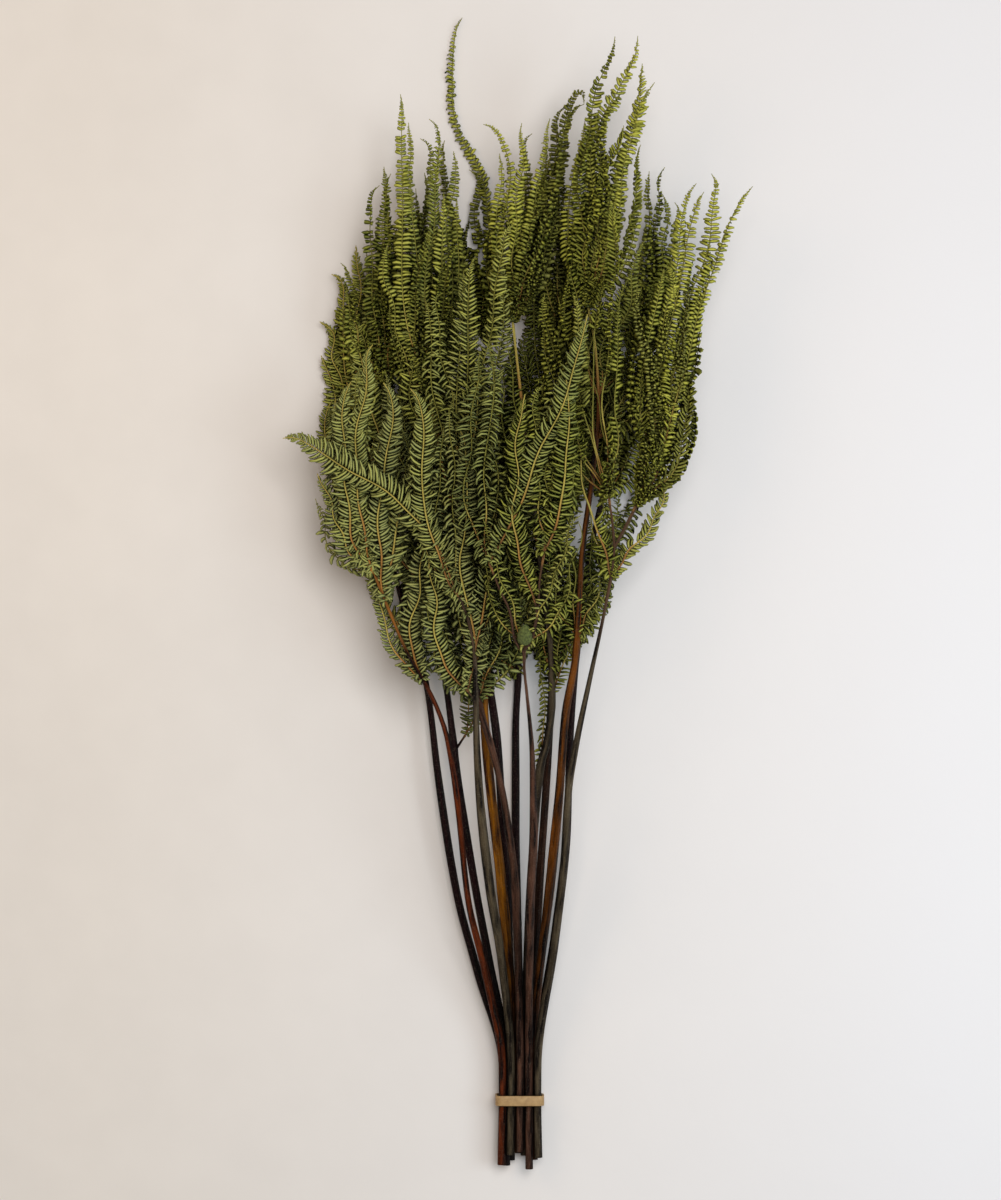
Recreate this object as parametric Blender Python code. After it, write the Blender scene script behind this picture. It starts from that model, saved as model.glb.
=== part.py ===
"""A tied bunch of forked bracken fronds, laid down on a flat surface.

Metres, +Z up. The cut ends are at -Y and the tips at +Y. The origin is on the surface, under the middle of
the bunch's box. Each frond is one closed body: a stem, the branches that fork from it, a resting bud in some
forks, and comb-shaped pinnae whose teeth stand for the leaflets. A rubber band holds the stems.

Each frond lies in a thin layer of its own, one above the other, so that no frond cuts through another.
"""

import math
from dataclasses import dataclass, field

import bmesh
import bpy
from mathutils import Vector

MM = 0.001

# The bunch, in millimetres along the bunch from the lowest cut end
BAND_Y = 40.0
BAND_WIDTH = 7.0
BAND_THICKNESS = 1.5
FAN_START_Y = 62.0
FAN_END_Y = 290.0

# The layers that the fronds lie in
LAYER_PITCH = 7.2
LAYERS = 14
EDGE_DROOP = 0.26
DROOP_WIDTH = 150.0
TIP_LIFT = 0.28
LIFT_START_Y = 500.0
LIFT_LENGTH = 300.0
WAVE_HEIGHT = 2.6
WAVE_ACROSS = 95.0
WAVE_ALONG = 165.0
WAVE_THROUGH = 110.0

# The stems in the band
STEM_RADIUS = 2.85
STEM_GAP = 0.45
ROW_PITCH = 0.5 * math.sqrt(3.0)
CUT_SPREAD = 1.05
LOWEST_ROW = (STEM_RADIUS + STEM_GAP + BAND_THICKNESS) * math.cos(math.pi / 24)

# Above the band
STEM_TOP_RADIUS = 1.7
BRANCH_RADIUS = 1.3
BRANCH_TIP_RADIUS = 0.95
BRANCH_LEAN = 1.3
SHORTEST_BRANCH = 4.0
BUD_WIDTH = 0.68
BUD_FLATNESS = 0.55
BUD_RISE = 0.42

# The pinnae
LEAVING_TURN = 1.9
LEAVING_SHARE = 0.36
ARRIVING_TURN = 0.5
ARRIVING_SHARE = 0.38
RIB_HALF_WIDTH = 0.8
RIB_TAPER = 0.45
BLADE_THICKNESS = 1.0
TOOTH_PITCH = 25.0
TOOTH_SWEEP = 0.42
TIP_TAPER_LENGTH = 70.0
TIP_TAPER_POWER = 0.75
ROOT_REACH = 0.72
ROOT_REACH_SHARE = 0.12
ROOT_DEPTH = 1.0
ROOT_STAGGER = 0.4
SETTLE_SHARE = 0.16
FORK_LEVEL_STEP = 0.4
PINNA_LEVEL_STEP = 1.3

# How finely the shapes are drawn
STEM_STEP = 32.0
BRANCH_STEP = 18.0
PATH_STEPS = 24
BAND_SIDES = 24
BUD_SIDES = 6
BUD_RINGS = 4

STEM_COLOUR = (0.055, 0.030, 0.022, 1.0)
LEAF_COLOUR = (0.105, 0.125, 0.040, 1.0)
BAND_COLOUR = (0.42, 0.30, 0.16, 1.0)


@dataclass
class Pinna:
    """A comb-shaped leaf. It runs from its fork through any waypoints to its tip, in millimetres."""

    tip: tuple
    reach: float = 12.0
    way: list = field(default_factory=list)


@dataclass
class Fork:
    """Where a branch from the stem ends and its pinnae start, in millimetres."""

    at: tuple
    pinnae: list
    way: list = field(default_factory=list)
    bud: float = 0.0


@dataclass
class Frond:
    """One stem with its forks. slot is the stem's place in the band's rows."""

    name: str
    layer: int
    slot: tuple
    cut_y: float
    stem: list
    forks: list


def fan(fork, tips, reach=12.0, bud=0.0, way=()):
    """A fork whose pinnae run to the given tips."""
    return Fork(fork, [Pinna(tip, reach) for tip in tips], list(way), bud)


# Stem points, forks and tips are millimetres across and along the bunch. Fronds go from the lowest layer up.
FRONDS = [
    Frond(
        "frond_01", 0, (0.0, 0), 2.0,
        [(-2, 183), (-3, 231), (-3, 297), (-1, 345), (-3, 390), (-10, 459), (-15, 528), (-21, 572)],
        [
            fan((-1, 338), [(-88, 478)], 15),
            fan((-1, 352), [(84, 482)], 14),
            fan((-7, 430), [(-66, 575), (58, 582)], 14),
            fan((-10, 459), [(-34, 592), (9, 614)], 13),
            Fork(
                (-21, 572),
                [
                    Pinna((-45, 800), 10, [(-19, 636), (-23, 668), (-31, 690), (-41, 714), (-47, 742), (-50, 769)]),
                    Pinna((-58, 712), 10),
                    Pinna((-33, 694), 11),
                    Pinna((2, 690), 11),
                ],
                [],
                7,
            ),
        ],
    ),
    Frond(
        "frond_02", 1, (-2.0, 0), 0.0,
        [(-30, 130), (-44, 183), (-57, 264), (-65, 328), (-79, 376), (-93, 431), (-102, 480), (-108, 507)],
        [
            Fork((-72, 352), [Pinna((-114, 456), 9), Pinna((-66, 474), 13)]),
            fan((-93, 431), [(-137, 530), (-76, 556)], 14),
            fan((-100, 470), [(-136, 562), (-92, 566)], 13),
            fan((-108, 507), [(-136, 588), (-125, 622), (-115, 638), (-99, 645)], 11, 6),
        ],
    ),
    Frond(
        "frond_03", 2, (2.0, 0), 4.0,
        [(25, 160), (30, 197), (33, 231), (34, 262), (35, 293), (39, 346), (48, 417), (62, 480), (72, 528), (78, 562)],
        [
            fan((40, 360), [(14, 470), (66, 472)], 13),
            fan((58, 462), [(33, 596), (100, 570)], 14),
            fan((64, 490), [(56, 610), (88, 602)], 13),
            fan((78, 562), [(91, 689), (99, 693), (105, 674), (112, 668)], 11, 6),
        ],
    ),
    Frond(
        "frond_04", 3, (-1.0, 0), -3.0,
        [(-9, 183), (-12, 231), (-16, 291), (-21, 330), (-26, 377), (-35, 431), (-45, 486), (-52, 528), (-55, 562)],
        [
            fan((-24, 362), [(-62, 472), (-4, 482)], 14),
            fan((-35, 431), [(-90, 560), (-10, 560)], 14),
            fan((-43, 475), [(-74, 606), (-32, 612)], 13),
            fan((-55, 562), [(-96, 687), (-79, 722), (-62, 714), (-46, 702)], 10, 6),
        ],
    ),
    Frond(
        "frond_05", 4, (1.0, 0), 5.0,
        [(13, 183), (18, 258), (21, 310), (25, 376), (28, 445), (29, 507), (31, 565)],
        [
            fan((23, 345), [(-2, 446), (48, 450)], 12),
            fan((28, 445), [(-4, 582), (66, 572)], 14),
            fan((29, 490), [(12, 612), (48, 604)], 13),
            Fork(
                (31, 565),
                [
                    Pinna((2, 716), 11),
                    Pinna((22, 735), 12),
                    Pinna((49, 737), 12, [(22, 640), (25, 690), (33, 728), (41, 743)]),
                    Pinna((54, 724), 11),
                ],
                [],
                6,
            ),
        ],
    ),
    Frond(
        "frond_06", 5, (-1.5, 1), -6.0,
        [(-22, 140), (-30, 183), (-38, 231), (-43, 263), (-50, 321), (-62, 390), (-76, 452), (-86, 500), (-91, 541)],
        [
            fan((-38, 296), [(-52, 405), (-34, 430)], 9),
            fan((-64, 397), [(-131, 528), (-46, 520)], 14),
            fan((-80, 470), [(-112, 590), (-68, 596)], 13),
            fan((-91, 541), [(-120, 626), (-104, 679), (-94, 690), (-80, 668)], 11, 6),
        ],
    ),
    Frond(
        "frond_07", 6, (0.5, 1), 1.0,
        [
            (7, 183), (10, 231), (14, 275), (19, 293), (22, 321), (21.5, 348),
            (17, 390), (9, 459), (1, 528), (-5, 582),
        ],
        [
            fan((14, 275), [(9, 388)], 8),
            fan((22, 325), [(44, 432)], 11),
            fan((22, 340), [(2, 446)], 12),
            fan((15, 400), [(-28, 522), (50, 530)], 14),
            fan((7, 465), [(-14, 590), (28, 588)], 13),
            Fork(
                (-5, 582),
                [
                    Pinna((-22, 722), 10, [(-8, 640), (-9, 680), (-13, 706)]),
                    Pinna((-2, 719), 10),
                    Pinna((18, 722), 11),
                    Pinna((36, 736), 11),
                ],
                [],
                7,
            ),
        ],
    ),
    Frond(
        "frond_08", 7, (-0.5, 1), 3.0,
        [(-13, 192), (-19, 245), (-24, 297), (-27, 348), (-37, 404), (-48, 459), (-57, 500), (-62, 528)],
        [
            fan((-26, 328), [(-52, 440), (-6, 444)], 14),
            fan((-45, 442), [(-92, 548), (-22, 560)], 14),
            fan((-54, 488), [(-74, 590), (-46, 600)], 13),
            fan((-62, 528), [(-96, 636), (-79, 738), (-54, 723), (-46, 640)], 11, 6),
        ],
    ),
    Frond(
        "frond_09", 8, (1.5, 1), -2.0,
        [(22, 205), (27, 258), (31, 310), (38, 350), (43, 424), (50, 477), (54, 524), (52, 562), (47, 591)],
        [
            fan((38, 362), [(20, 462), (60, 464)], 13),
            fan((52, 500), [(14, 600), (102, 610)], 14),
            fan((54, 530), [(34, 640), (84, 640)], 13),
            Fork(
                (47, 591),
                [
                    Pinna((67, 776), 10, [(43, 650), (45, 700), (50, 731), (56, 752)]),
                    Pinna((80, 777), 12, [(50, 650), (48, 690), (53, 722), (64, 739), (75, 758)]),
                    Pinna((79, 758), 14, [(60, 650), (70, 700), (78, 730)]),
                    Pinna((94, 744), 10, [(66, 650), (75, 700), (84, 725)]),
                ],
                [],
                7,
            ),
        ],
    ),
    Frond(
        "frond_10", 9, (0.0, 2), 4.0,
        [
            (-3, 183), (-9, 238), (-14, 266), (-21, 293), (-28, 317),
            (-32, 345), (-34, 376), (-37, 417), (-39, 461),
        ],
        [
            fan((-28, 321), [(-54, 436), (4, 442)], 13),
            fan((-34, 390), [(-78, 510), (-6, 524)], 14),
            fan((-39, 461), [(-62, 606), (-36, 628), (-8, 648)], 13, 6),
        ],
    ),
    Frond(
        "frond_11", 10, (2.0, 2), 0.0,
        [(24, 150), (30, 205), (33, 258), (37, 284), (48, 337), (58, 383), (64, 417), (65, 428)],
        [
            Fork((60, 405), [Pinna((97, 486), 9, [(79, 427), (92, 441), (99, 456)]), Pinna((38, 520), 13)]),
            fan((61, 459), [(40, 600), (64, 664)], 13, 0, [(63, 445)]),
            fan((79, 454), [(80, 606), (104, 622)], 13),
            Fork(
                (94, 478),
                [
                    Pinna((118, 677), 11, [(90, 530), (98, 580), (108, 630)]),
                    Pinna((127, 670), 11, [(94, 520), (103, 570), (115, 620)]),
                    Pinna((140, 682), 11, [(98, 510), (106, 550), (113, 578), (126, 628)]),
                    Pinna((159, 675), 9, [(101, 505), (114, 555), (125, 597), (142, 643)]),
                ],
                [(86, 465)],
            ),
        ],
    ),
    Frond(
        "frond_12", 11, (-2.0, 2), -5.0,
        [(-24, 130), (-36, 183), (-43, 250), (-50, 295), (-57, 316), (-65, 332), (-77, 353), (-90, 383), (-100, 408)],
        [
            Fork((-66, 334), [Pinna((-104, 430), 8), Pinna((-64, 446), 12)]),
            fan((-92, 388), [(-72, 500), (-88, 540)], 13),
            fan((-100, 408), [(-139, 477), (-124, 540), (-106, 566)], 12),
        ],
    ),
    Frond(
        "frond_13", 12, (-1.0, 2), 2.0,
        [(-13, 140), (-21, 192), (-28, 258), (-30, 297), (-31, 348), (-36, 378), (-42, 392)],
        [
            Fork(
                (-36, 328),
                [
                    Pinna((-58, 428), 11),
                    Pinna((-38, 508), 12, [(-31, 352), (-35, 371), (-41, 399), (-43, 417), (-40, 440)]),
                ],
            ),
            fan((-32, 352), [(-14, 486)], 13),
            Fork(
                (-42, 392),
                [Pinna((-160, 509), 12, [(-62, 436), (-84, 456), (-118, 476)]), Pinna((-70, 536), 13)],
            ),
            fan((-36, 378), [(-52, 520)], 13),
        ],
    ),
    Frond(
        "frond_14", 13, (1.0, 2), -8.0,
        [(7, 183), (9, 231), (8, 284), (4, 330), (2.5, 346), (2.8, 358)],
        [
            Fork(
                (-21, 415),
                [Pinna((-25, 566), 14), Pinna((46, 584), 13, [(-2, 450), (12, 492), (32, 532)])],
                [(-3.5, 362), (-7, 381.5), (-14, 397)],
            ),
            fan((9, 392), [(2, 530)], 13, 0, [(7, 362), (11, 381)]),
            fan((16, 421), [(14, 536), (34, 540)], 13, 0, [(7.5, 362), (12, 382), (13, 402)]),
            fan((2.8, 358), [(-26, 444), (40, 448)], 11, 16),
        ],
    ),
]


def smooth(value):
    """A ramp from 0 to 1 with level ends."""
    clamped = min(max(value, 0.0), 1.0)
    return clamped * clamped * (3.0 - 2.0 * clamped)


def place(x, y, height):
    """A point of the flat layers, in millimetres, as it lies in the bunch, in metres.

    The sides droop, the tips lift and slow waves run through the layers. The lowest layer stays flat.
    """
    share = min(max(height / (LAYER_PITCH * LAYERS), 0.0), 1.0)
    droop = 1.0 - EDGE_DROOP * (x / DROOP_WIDTH) ** 2
    lift = 1.0 + TIP_LIFT * smooth((y - LIFT_START_Y) / LIFT_LENGTH)
    phase = x / WAVE_ACROSS + y / WAVE_ALONG + height / WAVE_THROUGH
    wave = WAVE_HEIGHT * math.sin(2.0 * math.pi * phase) * smooth((y - FAN_END_Y) / LIFT_LENGTH)
    return Vector((x, y, height * droop * lift + wave * math.sin(math.pi * share))) * MM


def slot_centre(slot):
    """A stem's centre in the band: across the bunch, and above the surface."""
    across, row = slot
    pitch = 2 * STEM_RADIUS + STEM_GAP
    return across * pitch, LOWEST_ROW + row * ROW_PITCH * pitch


def stem_height(frond, y):
    """The height of a frond's stem: its row in the band, then its own layer."""
    rise = smooth((y - FAN_START_Y) / (FAN_END_Y - FAN_START_Y))
    bundled = slot_centre(frond.slot)[1]
    return bundled + ((frond.layer + 0.5) * LAYER_PITCH - bundled) * rise


def stem_points(frond):
    """The points that a frond's stem passes through, from its cut end up."""
    across = slot_centre(frond.slot)[0]
    held = [(across * CUT_SPREAD, frond.cut_y), (across, BAND_Y), (across, FAN_START_Y)]
    return [*held, *frond.stem]


def stem_across(frond, y):
    """How far across the bunch a frond's stem is, at a distance along it: a smooth curve through its points."""
    points = stem_points(frond)
    last = len(points) - 1
    i = next((k for k in range(last) if y <= points[k + 1][1]), last - 1)

    def rate(k):
        (xa, ya), (xb, yb) = points[k], points[k + 1]
        return (xb - xa) / (yb - ya)

    def slope(k):
        before, after = rate(max(k - 1, 0)), rate(min(k, last - 1))
        return 2.0 * before * after / (before + after) if before * after > 0.0 else 0.0

    (x0, y0), (x1, y1) = points[i], points[i + 1]
    span = y1 - y0
    t = (y - y0) / span
    return (
        (2 * t**3 - 3 * t**2 + 1) * x0
        + (t**3 - 2 * t**2 + t) * span * slope(i)
        + (3 * t**2 - 2 * t**3) * x1
        + (t**3 - t**2) * span * slope(i + 1)
    )


def curve_points(points, steps):
    """Points on a smooth curve through the given points, with the same number of steps in each span."""
    ends = [2 * points[0] - points[1], *points, 2 * points[-1] - points[-2]]
    found = []
    for before, start, end, after in zip(ends, ends[1:], ends[2:], ends[3:]):
        for step in range(steps):
            t = step / steps
            turn = 2 * before - 5 * start + 4 * end - after
            twist = 3 * start - before - 3 * end + after
            found.append(0.5 * (2 * start + (end - before) * t + turn * t**2 + twist * t**3))
    return [*found, points[-1].copy()]


def path_length(path):
    """The length of a run of points."""
    return sum((b - a).length for a, b in zip(path, path[1:]))


def at_share(path, share):
    """The point and heading at a share of a path's length."""
    left = share * path_length(path)
    for a, b in zip(path, path[1:]):
        step = (b - a).length
        if left <= step:
            return a.lerp(b, left / step), (b - a).normalized()
        left -= step
    return path[-1].copy(), (path[-1] - path[-2]).normalized()


def finish(name, colour, roughness):
    """A plain material."""
    made = bpy.data.materials.new(name)
    made.use_nodes = True
    shader = made.node_tree.nodes["Principled BSDF"]
    shader.inputs["Base Color"].default_value = colour
    shader.inputs["Roughness"].default_value = roughness
    shader.inputs["Metallic"].default_value = 0.0
    return made


def mesh_object(name, shape, finishes, finish_index, collection):
    """An object made of a bmesh, in a collection. All its faces take one of the finishes."""
    bmesh.ops.recalc_face_normals(shape, faces=shape.faces)
    for face in shape.faces:
        face.material_index = finish_index
        face.smooth = finish_index == 0
    mesh = bpy.data.meshes.new(name)
    shape.to_mesh(mesh)
    shape.free()
    for each in finishes:
        mesh.materials.append(each)
    made = bpy.data.objects.new(name, mesh)
    collection.objects.link(made)
    return made


def tube(points, radii, roundness):
    """A stem along the points, as a bmesh. It has four sides at a roundness of 0 and six at 1."""
    path = bpy.data.curves.new("path", "CURVE")
    path.dimensions = "3D"
    path.bevel_depth = MM
    path.bevel_resolution = roundness
    path.use_fill_caps = True
    spline = path.splines.new("POLY")
    spline.points.add(len(points) - 1)
    for vertex, point, radius in zip(spline.points, points, radii):
        vertex.co = (*point, 1.0)
        vertex.radius = radius
    helper = bpy.data.objects.new("path", path)
    mesh = bpy.data.meshes.new_from_object(helper)
    shape = bmesh.new()
    shape.from_mesh(mesh)
    bmesh.ops.remove_doubles(shape, verts=shape.verts, dist=0.001 * MM)
    bpy.data.objects.remove(helper)
    bpy.data.meshes.remove(mesh)
    return shape


def stem_shape(frond):
    """A frond's stem, from its cut end to its last fork."""
    top = frond.stem[-1][1]
    count = round((top - BAND_Y) / STEM_STEP)
    stations = [frond.cut_y, *[BAND_Y + STEM_STEP * i for i in range(count)], top]
    points, radii = [], []
    for y in stations:
        points.append(place(stem_across(frond, y), y, stem_height(frond, y)))
        radii.append(STEM_RADIUS + (STEM_TOP_RADIUS - STEM_RADIUS) * smooth((y - BAND_Y) / (top - BAND_Y)))
    return tube(points, radii, 1)


def branch_path(frond, fork):
    """The way from inside the stem to a fork, in the flat layer. A fork on the stem itself has none."""
    first = Vector((fork.way or [fork.at])[0])
    top = frond.stem[-1][1]
    aside = abs(first.x - stem_across(frond, min(first.y, top)))
    if aside < SHORTEST_BRANCH and not fork.way:
        return []
    root_y = min(first.y - BRANCH_LEAN * aside, top - STEM_TOP_RADIUS)
    root = Vector((stem_across(frond, root_y), root_y))
    return curve_points([root, *[Vector(point) for point in fork.way], Vector(fork.at)], 6)


def branch_shape(frond, path):
    """A branch as a bmesh."""
    count = max(3, round(path_length(path) / BRANCH_STEP))
    points, radii = [], []
    for i in range(count + 1):
        spot = at_share(path, i / count)[0]
        points.append(place(spot.x, spot.y, stem_height(frond, spot.y)))
        radii.append(BRANCH_RADIUS + (BRANCH_TIP_RADIUS - BRANCH_RADIUS) * i / count)
    return tube(points, radii, 0)


def pinna_path(pinna, start, heading):
    """The pinna's midline: it leaves the fork to one side and then turns along the bunch."""
    tip = Vector(pinna.tip)
    if pinna.way:
        return curve_points([start, *[Vector(point) for point in pinna.way], tip], 8)
    length = (tip - start).length
    lean = Vector((tip.x - start.x, 0.0)) / length
    leave = (heading + LEAVING_TURN * lean).normalized()
    arrive = (Vector((0.0, 1.0)) + ARRIVING_TURN * lean).normalized()
    first, second = start + leave * length * LEAVING_SHARE, tip - arrive * length * ARRIVING_SHARE
    found = []
    for step in range(PATH_STEPS + 1):
        t = step / PATH_STEPS
        s = 1.0 - t
        found.append(s**3 * start + 3 * s * s * t * first + 3 * s * t * t * second + t**3 * tip)
    return found


def tooth_reach(share, length, reach):
    """How far a pinna's teeth reach sideways, at a share of its length from the fork."""
    from_tip = (1.0 - share) * length
    near_root = ROOT_REACH + (1.0 - ROOT_REACH) * smooth(share / ROOT_REACH_SHARE)
    return reach * near_root * min(1.0, (from_tip / TIP_TAPER_LENGTH) ** TIP_TAPER_POWER)


def pinna_shape(pinna, start, heading, root_height, level):
    """A pinna as a bmesh: a three-sided rib with a pointed tooth on each side of each step.

    The rib starts inside the branch, at root_height, and settles to its own level. Its underside is flat.
    """
    path = pinna_path(pinna, start, heading)
    length = path_length(path)
    steps = max(6, round(length / TOOTH_PITCH))
    shape = bmesh.new()

    def corner(share, out, up):
        spot, along = at_share(path, min(share, 1.0))
        spot = spot + out * Vector((along.y, -along.x))
        height = root_height + (level - root_height) * smooth(share / SETTLE_SHARE)
        return shape.verts.new(place(spot.x, spot.y, height + up))

    def section(share):
        half = RIB_HALF_WIDTH * (1.0 - RIB_TAPER * share)
        return corner(share, 0.0, BLADE_THICKNESS), corner(share, -half, 0.0), corner(share, half, 0.0)

    ribs = [section(i / steps) for i in range(steps)]
    shape.faces.new(ribs[0])
    for i, ((top, left, right), (next_top, next_left, next_right)) in enumerate(zip(ribs, ribs[1:])):
        share = (i + 0.5) / steps
        reach = tooth_reach(share, length, pinna.reach)
        shape.faces.new([left, next_left, next_right])
        shape.faces.new([left, next_right, right])
        for out, low, next_low in ((-reach, left, next_left), (reach, right, next_right)):
            point = corner(share + TOOTH_SWEEP * reach / length, out, 0.0)
            root = [top, next_top, next_low, low]
            for a, b in zip(root, [*root[1:], root[0]]):
                shape.faces.new([a, b, point])
    end = corner(1.0, 0.0, 0.0)
    for a, b in zip(ribs[-1], [*ribs[-1][1:], ribs[-1][0]]):
        shape.faces.new([a, b, end])
    return shape


def bud_shape(frond, fork, heading):
    """A resting bud in a fork: a rounded, slightly flat ball."""
    shape = bmesh.new()
    bmesh.ops.create_uvsphere(shape, u_segments=BUD_SIDES, v_segments=BUD_RINGS, radius=0.5 * fork.bud * MM)
    bmesh.ops.scale(shape, vec=(BUD_WIDTH, 1.0, BUD_FLATNESS), verts=shape.verts)
    spot = Vector(fork.at) + heading * BUD_RISE * fork.bud
    bmesh.ops.translate(shape, vec=place(spot.x, spot.y, stem_height(frond, fork.at[1])), verts=shape.verts)
    return shape


def build_frond(frond, finishes, scene):
    """A whole frond as one body: its parts are joined in one union."""
    body = mesh_object(frond.name, stem_shape(frond), finishes, 0, scene)
    parts = bpy.data.collections.new(frond.name + "_parts")
    scene.children.link(parts)
    floor = frond.layer * LAYER_PITCH
    for number, fork in enumerate(frond.forks):
        path = branch_path(frond, fork)
        start = path[-1] if path else Vector((stem_across(frond, fork.at[1]), fork.at[1]))
        if path:
            heading = at_share(path, 1.0)[1]
            mesh_object("branch", branch_shape(frond, path), finishes, 0, parts)
        else:
            below_y = start.y - SHORTEST_BRANCH
            heading = (start - Vector((stem_across(frond, below_y), below_y))).normalized()
        if fork.bud:
            mesh_object("bud", bud_shape(frond, fork, heading), finishes, 1, parts)
        for place_in_fork, pinna in enumerate(fork.pinnae):
            level = floor + number * FORK_LEVEL_STEP + place_in_fork * PINNA_LEVEL_STEP
            inside = start - heading * (ROOT_DEPTH + ROOT_STAGGER * place_in_fork)
            blade = pinna_shape(pinna, inside, heading, stem_height(frond, start.y), level)
            mesh_object("pinna", blade, finishes, 1, parts)
    union = body.modifiers.new("union", "BOOLEAN")
    union.operation = "UNION"
    union.operand_type = "COLLECTION"
    union.collection = parts
    union.solver = "MANIFOLD"
    joined = bpy.data.meshes.new_from_object(body.evaluated_get(bpy.context.evaluated_depsgraph_get()))
    body.modifiers.clear()
    body.data = joined
    for part in list(parts.objects):
        bpy.data.objects.remove(part)
    bpy.data.collections.remove(parts)
    return body


def band_outline(radius):
    """Points round the stems in the band: a tight loop that keeps the given radius from each stem's centre."""
    centres = [Vector(slot_centre(frond.slot)) for frond in FRONDS]
    found = []
    for i in range(BAND_SIDES):
        angle = 2.0 * math.pi * (i + 0.5) / BAND_SIDES
        out = Vector((math.cos(angle), math.sin(angle)))
        found.append(max(centres, key=lambda centre: centre.dot(out)) + radius * out)
    return found


def build_band(finishes, scene):
    """The rubber band round the stems: a flat strip with its own thickness."""
    shape = bmesh.new()
    inner = band_outline(STEM_RADIUS + STEM_GAP)
    outer = band_outline(STEM_RADIUS + STEM_GAP + BAND_THICKNESS)
    rings = []
    for y in (BAND_Y - 0.5 * BAND_WIDTH, BAND_Y + 0.5 * BAND_WIDTH):
        for outline in (inner, outer):
            rings.append([shape.verts.new(place(point.x, y, point.y)) for point in outline])
    low_inner, low_outer, high_inner, high_outer = rings
    for first, second in (
        (low_inner, low_outer),
        (low_outer, high_outer),
        (high_outer, high_inner),
        (high_inner, low_inner),
    ):
        for i in range(BAND_SIDES):
            j = (i + 1) % BAND_SIDES
            shape.faces.new([first[i], first[j], second[j], second[i]])
    return mesh_object("rubber_band", shape, finishes, 0, scene)


def centre_on_surface(pieces):
    """Moves the pieces so that the origin is on the surface, under the middle of their box."""
    corners = [vertex.co for piece in pieces for vertex in piece.data.vertices]
    low = Vector(min(corner[axis] for corner in corners) for axis in range(3))
    high = Vector(max(corner[axis] for corner in corners) for axis in range(3))
    for piece in pieces:
        piece.location = -Vector((0.5 * (low.x + high.x), 0.5 * (low.y + high.y), low.z))


def main():
    """Builds the bunch."""
    for old in list(bpy.data.objects):
        bpy.data.objects.remove(old)
    scene = bpy.context.scene.collection
    plant = [finish("stem", STEM_COLOUR, 0.5), finish("leaf", LEAF_COLOUR, 0.55)]
    pieces = [build_frond(frond, plant, scene) for frond in FRONDS]
    pieces.append(build_band([finish("rubber", BAND_COLOUR, 0.6)], scene))
    centre_on_surface(pieces)


main()
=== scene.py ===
"""A tied bunch of forked bracken fronds, laid down on a pale surface and seen from straight above.

Lengths in the tables are millimetres: across the bunch, then along it from the cut ends to the tips.
Meshes are in metres. Each frond has two pieces: its woody part, from the cut end to the rachises and
buds, and its leaflets.
"""

import logging
import math
import random
from collections.abc import Iterable
from dataclasses import dataclass, field
from enum import Enum

import bpy
import numpy as np
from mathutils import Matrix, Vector
from mathutils.kdtree import KDTree


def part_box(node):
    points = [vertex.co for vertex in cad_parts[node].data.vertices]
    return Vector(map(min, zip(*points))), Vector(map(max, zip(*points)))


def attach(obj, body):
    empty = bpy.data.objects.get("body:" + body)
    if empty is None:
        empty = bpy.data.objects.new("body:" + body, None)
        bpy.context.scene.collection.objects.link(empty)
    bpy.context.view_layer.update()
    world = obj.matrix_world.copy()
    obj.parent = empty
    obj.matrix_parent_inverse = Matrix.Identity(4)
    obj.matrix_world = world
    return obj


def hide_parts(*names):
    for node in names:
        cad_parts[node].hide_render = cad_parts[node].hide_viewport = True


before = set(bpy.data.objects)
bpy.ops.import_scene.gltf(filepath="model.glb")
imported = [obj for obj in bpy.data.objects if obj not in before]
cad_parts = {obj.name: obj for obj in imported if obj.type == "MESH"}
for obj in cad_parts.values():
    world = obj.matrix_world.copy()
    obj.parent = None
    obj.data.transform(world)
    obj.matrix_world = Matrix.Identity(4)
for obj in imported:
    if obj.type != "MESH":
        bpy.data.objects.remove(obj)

MM = 0.001
SEED = 20
Colour = tuple[float, float, float, float]
log = logging.getLogger("bracken")


def colour(red: int, green: int, blue: int) -> Colour:
    """A linear colour from screen values.

    Args:
        red: Red, 0 to 255.
        green: Green, 0 to 255.
        blue: Blue, 0 to 255.

    Returns:
        The linear colour, with an alpha of 1.
    """
    low, knee = 12.92, 0.04045

    def linear(value: int) -> float:
        """One channel's linear value."""
        share = value / 255
        return share / low if share <= knee else ((share + 0.055) / 1.055) ** 2.4

    return linear(red), linear(green), linear(blue), 1.0


def smooth(value: np.ndarray | float) -> np.ndarray | float:
    """A ramp from 0 to 1 with level ends.

    Args:
        value: Where on the ramp.

    Returns:
        The ramp's height there.
    """
    clamped = np.clip(value, 0.0, 1.0)
    return clamped * clamped * (3.0 - 2.0 * clamped)


@dataclass(frozen=True)
class Posture:
    """How a pinna's leaflets are held. Angles are degrees.

    Attributes:
        fold: How far the two rows fold up towards each other.
        sweep: How far leaflets lean to the pinna's tip.
        hook: How far a leaflet bends towards the tip along its length.
        curl: How far a leaflet bends down along its length.
        roll: The most that the pinna turns about its rachis.
        unrest: How far a leaflet strays from its neighbours.
        size: Its leaflets' length, as a share of the pinna's reach.
        pitch: The distance between leaflets in a row, in millimetres.
        width: A leaflet's width, as a share of that distance.
    """

    fold: float
    sweep: float
    hook: float
    curl: float
    roll: float
    unrest: float
    size: float
    pitch: float
    width: float


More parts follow.
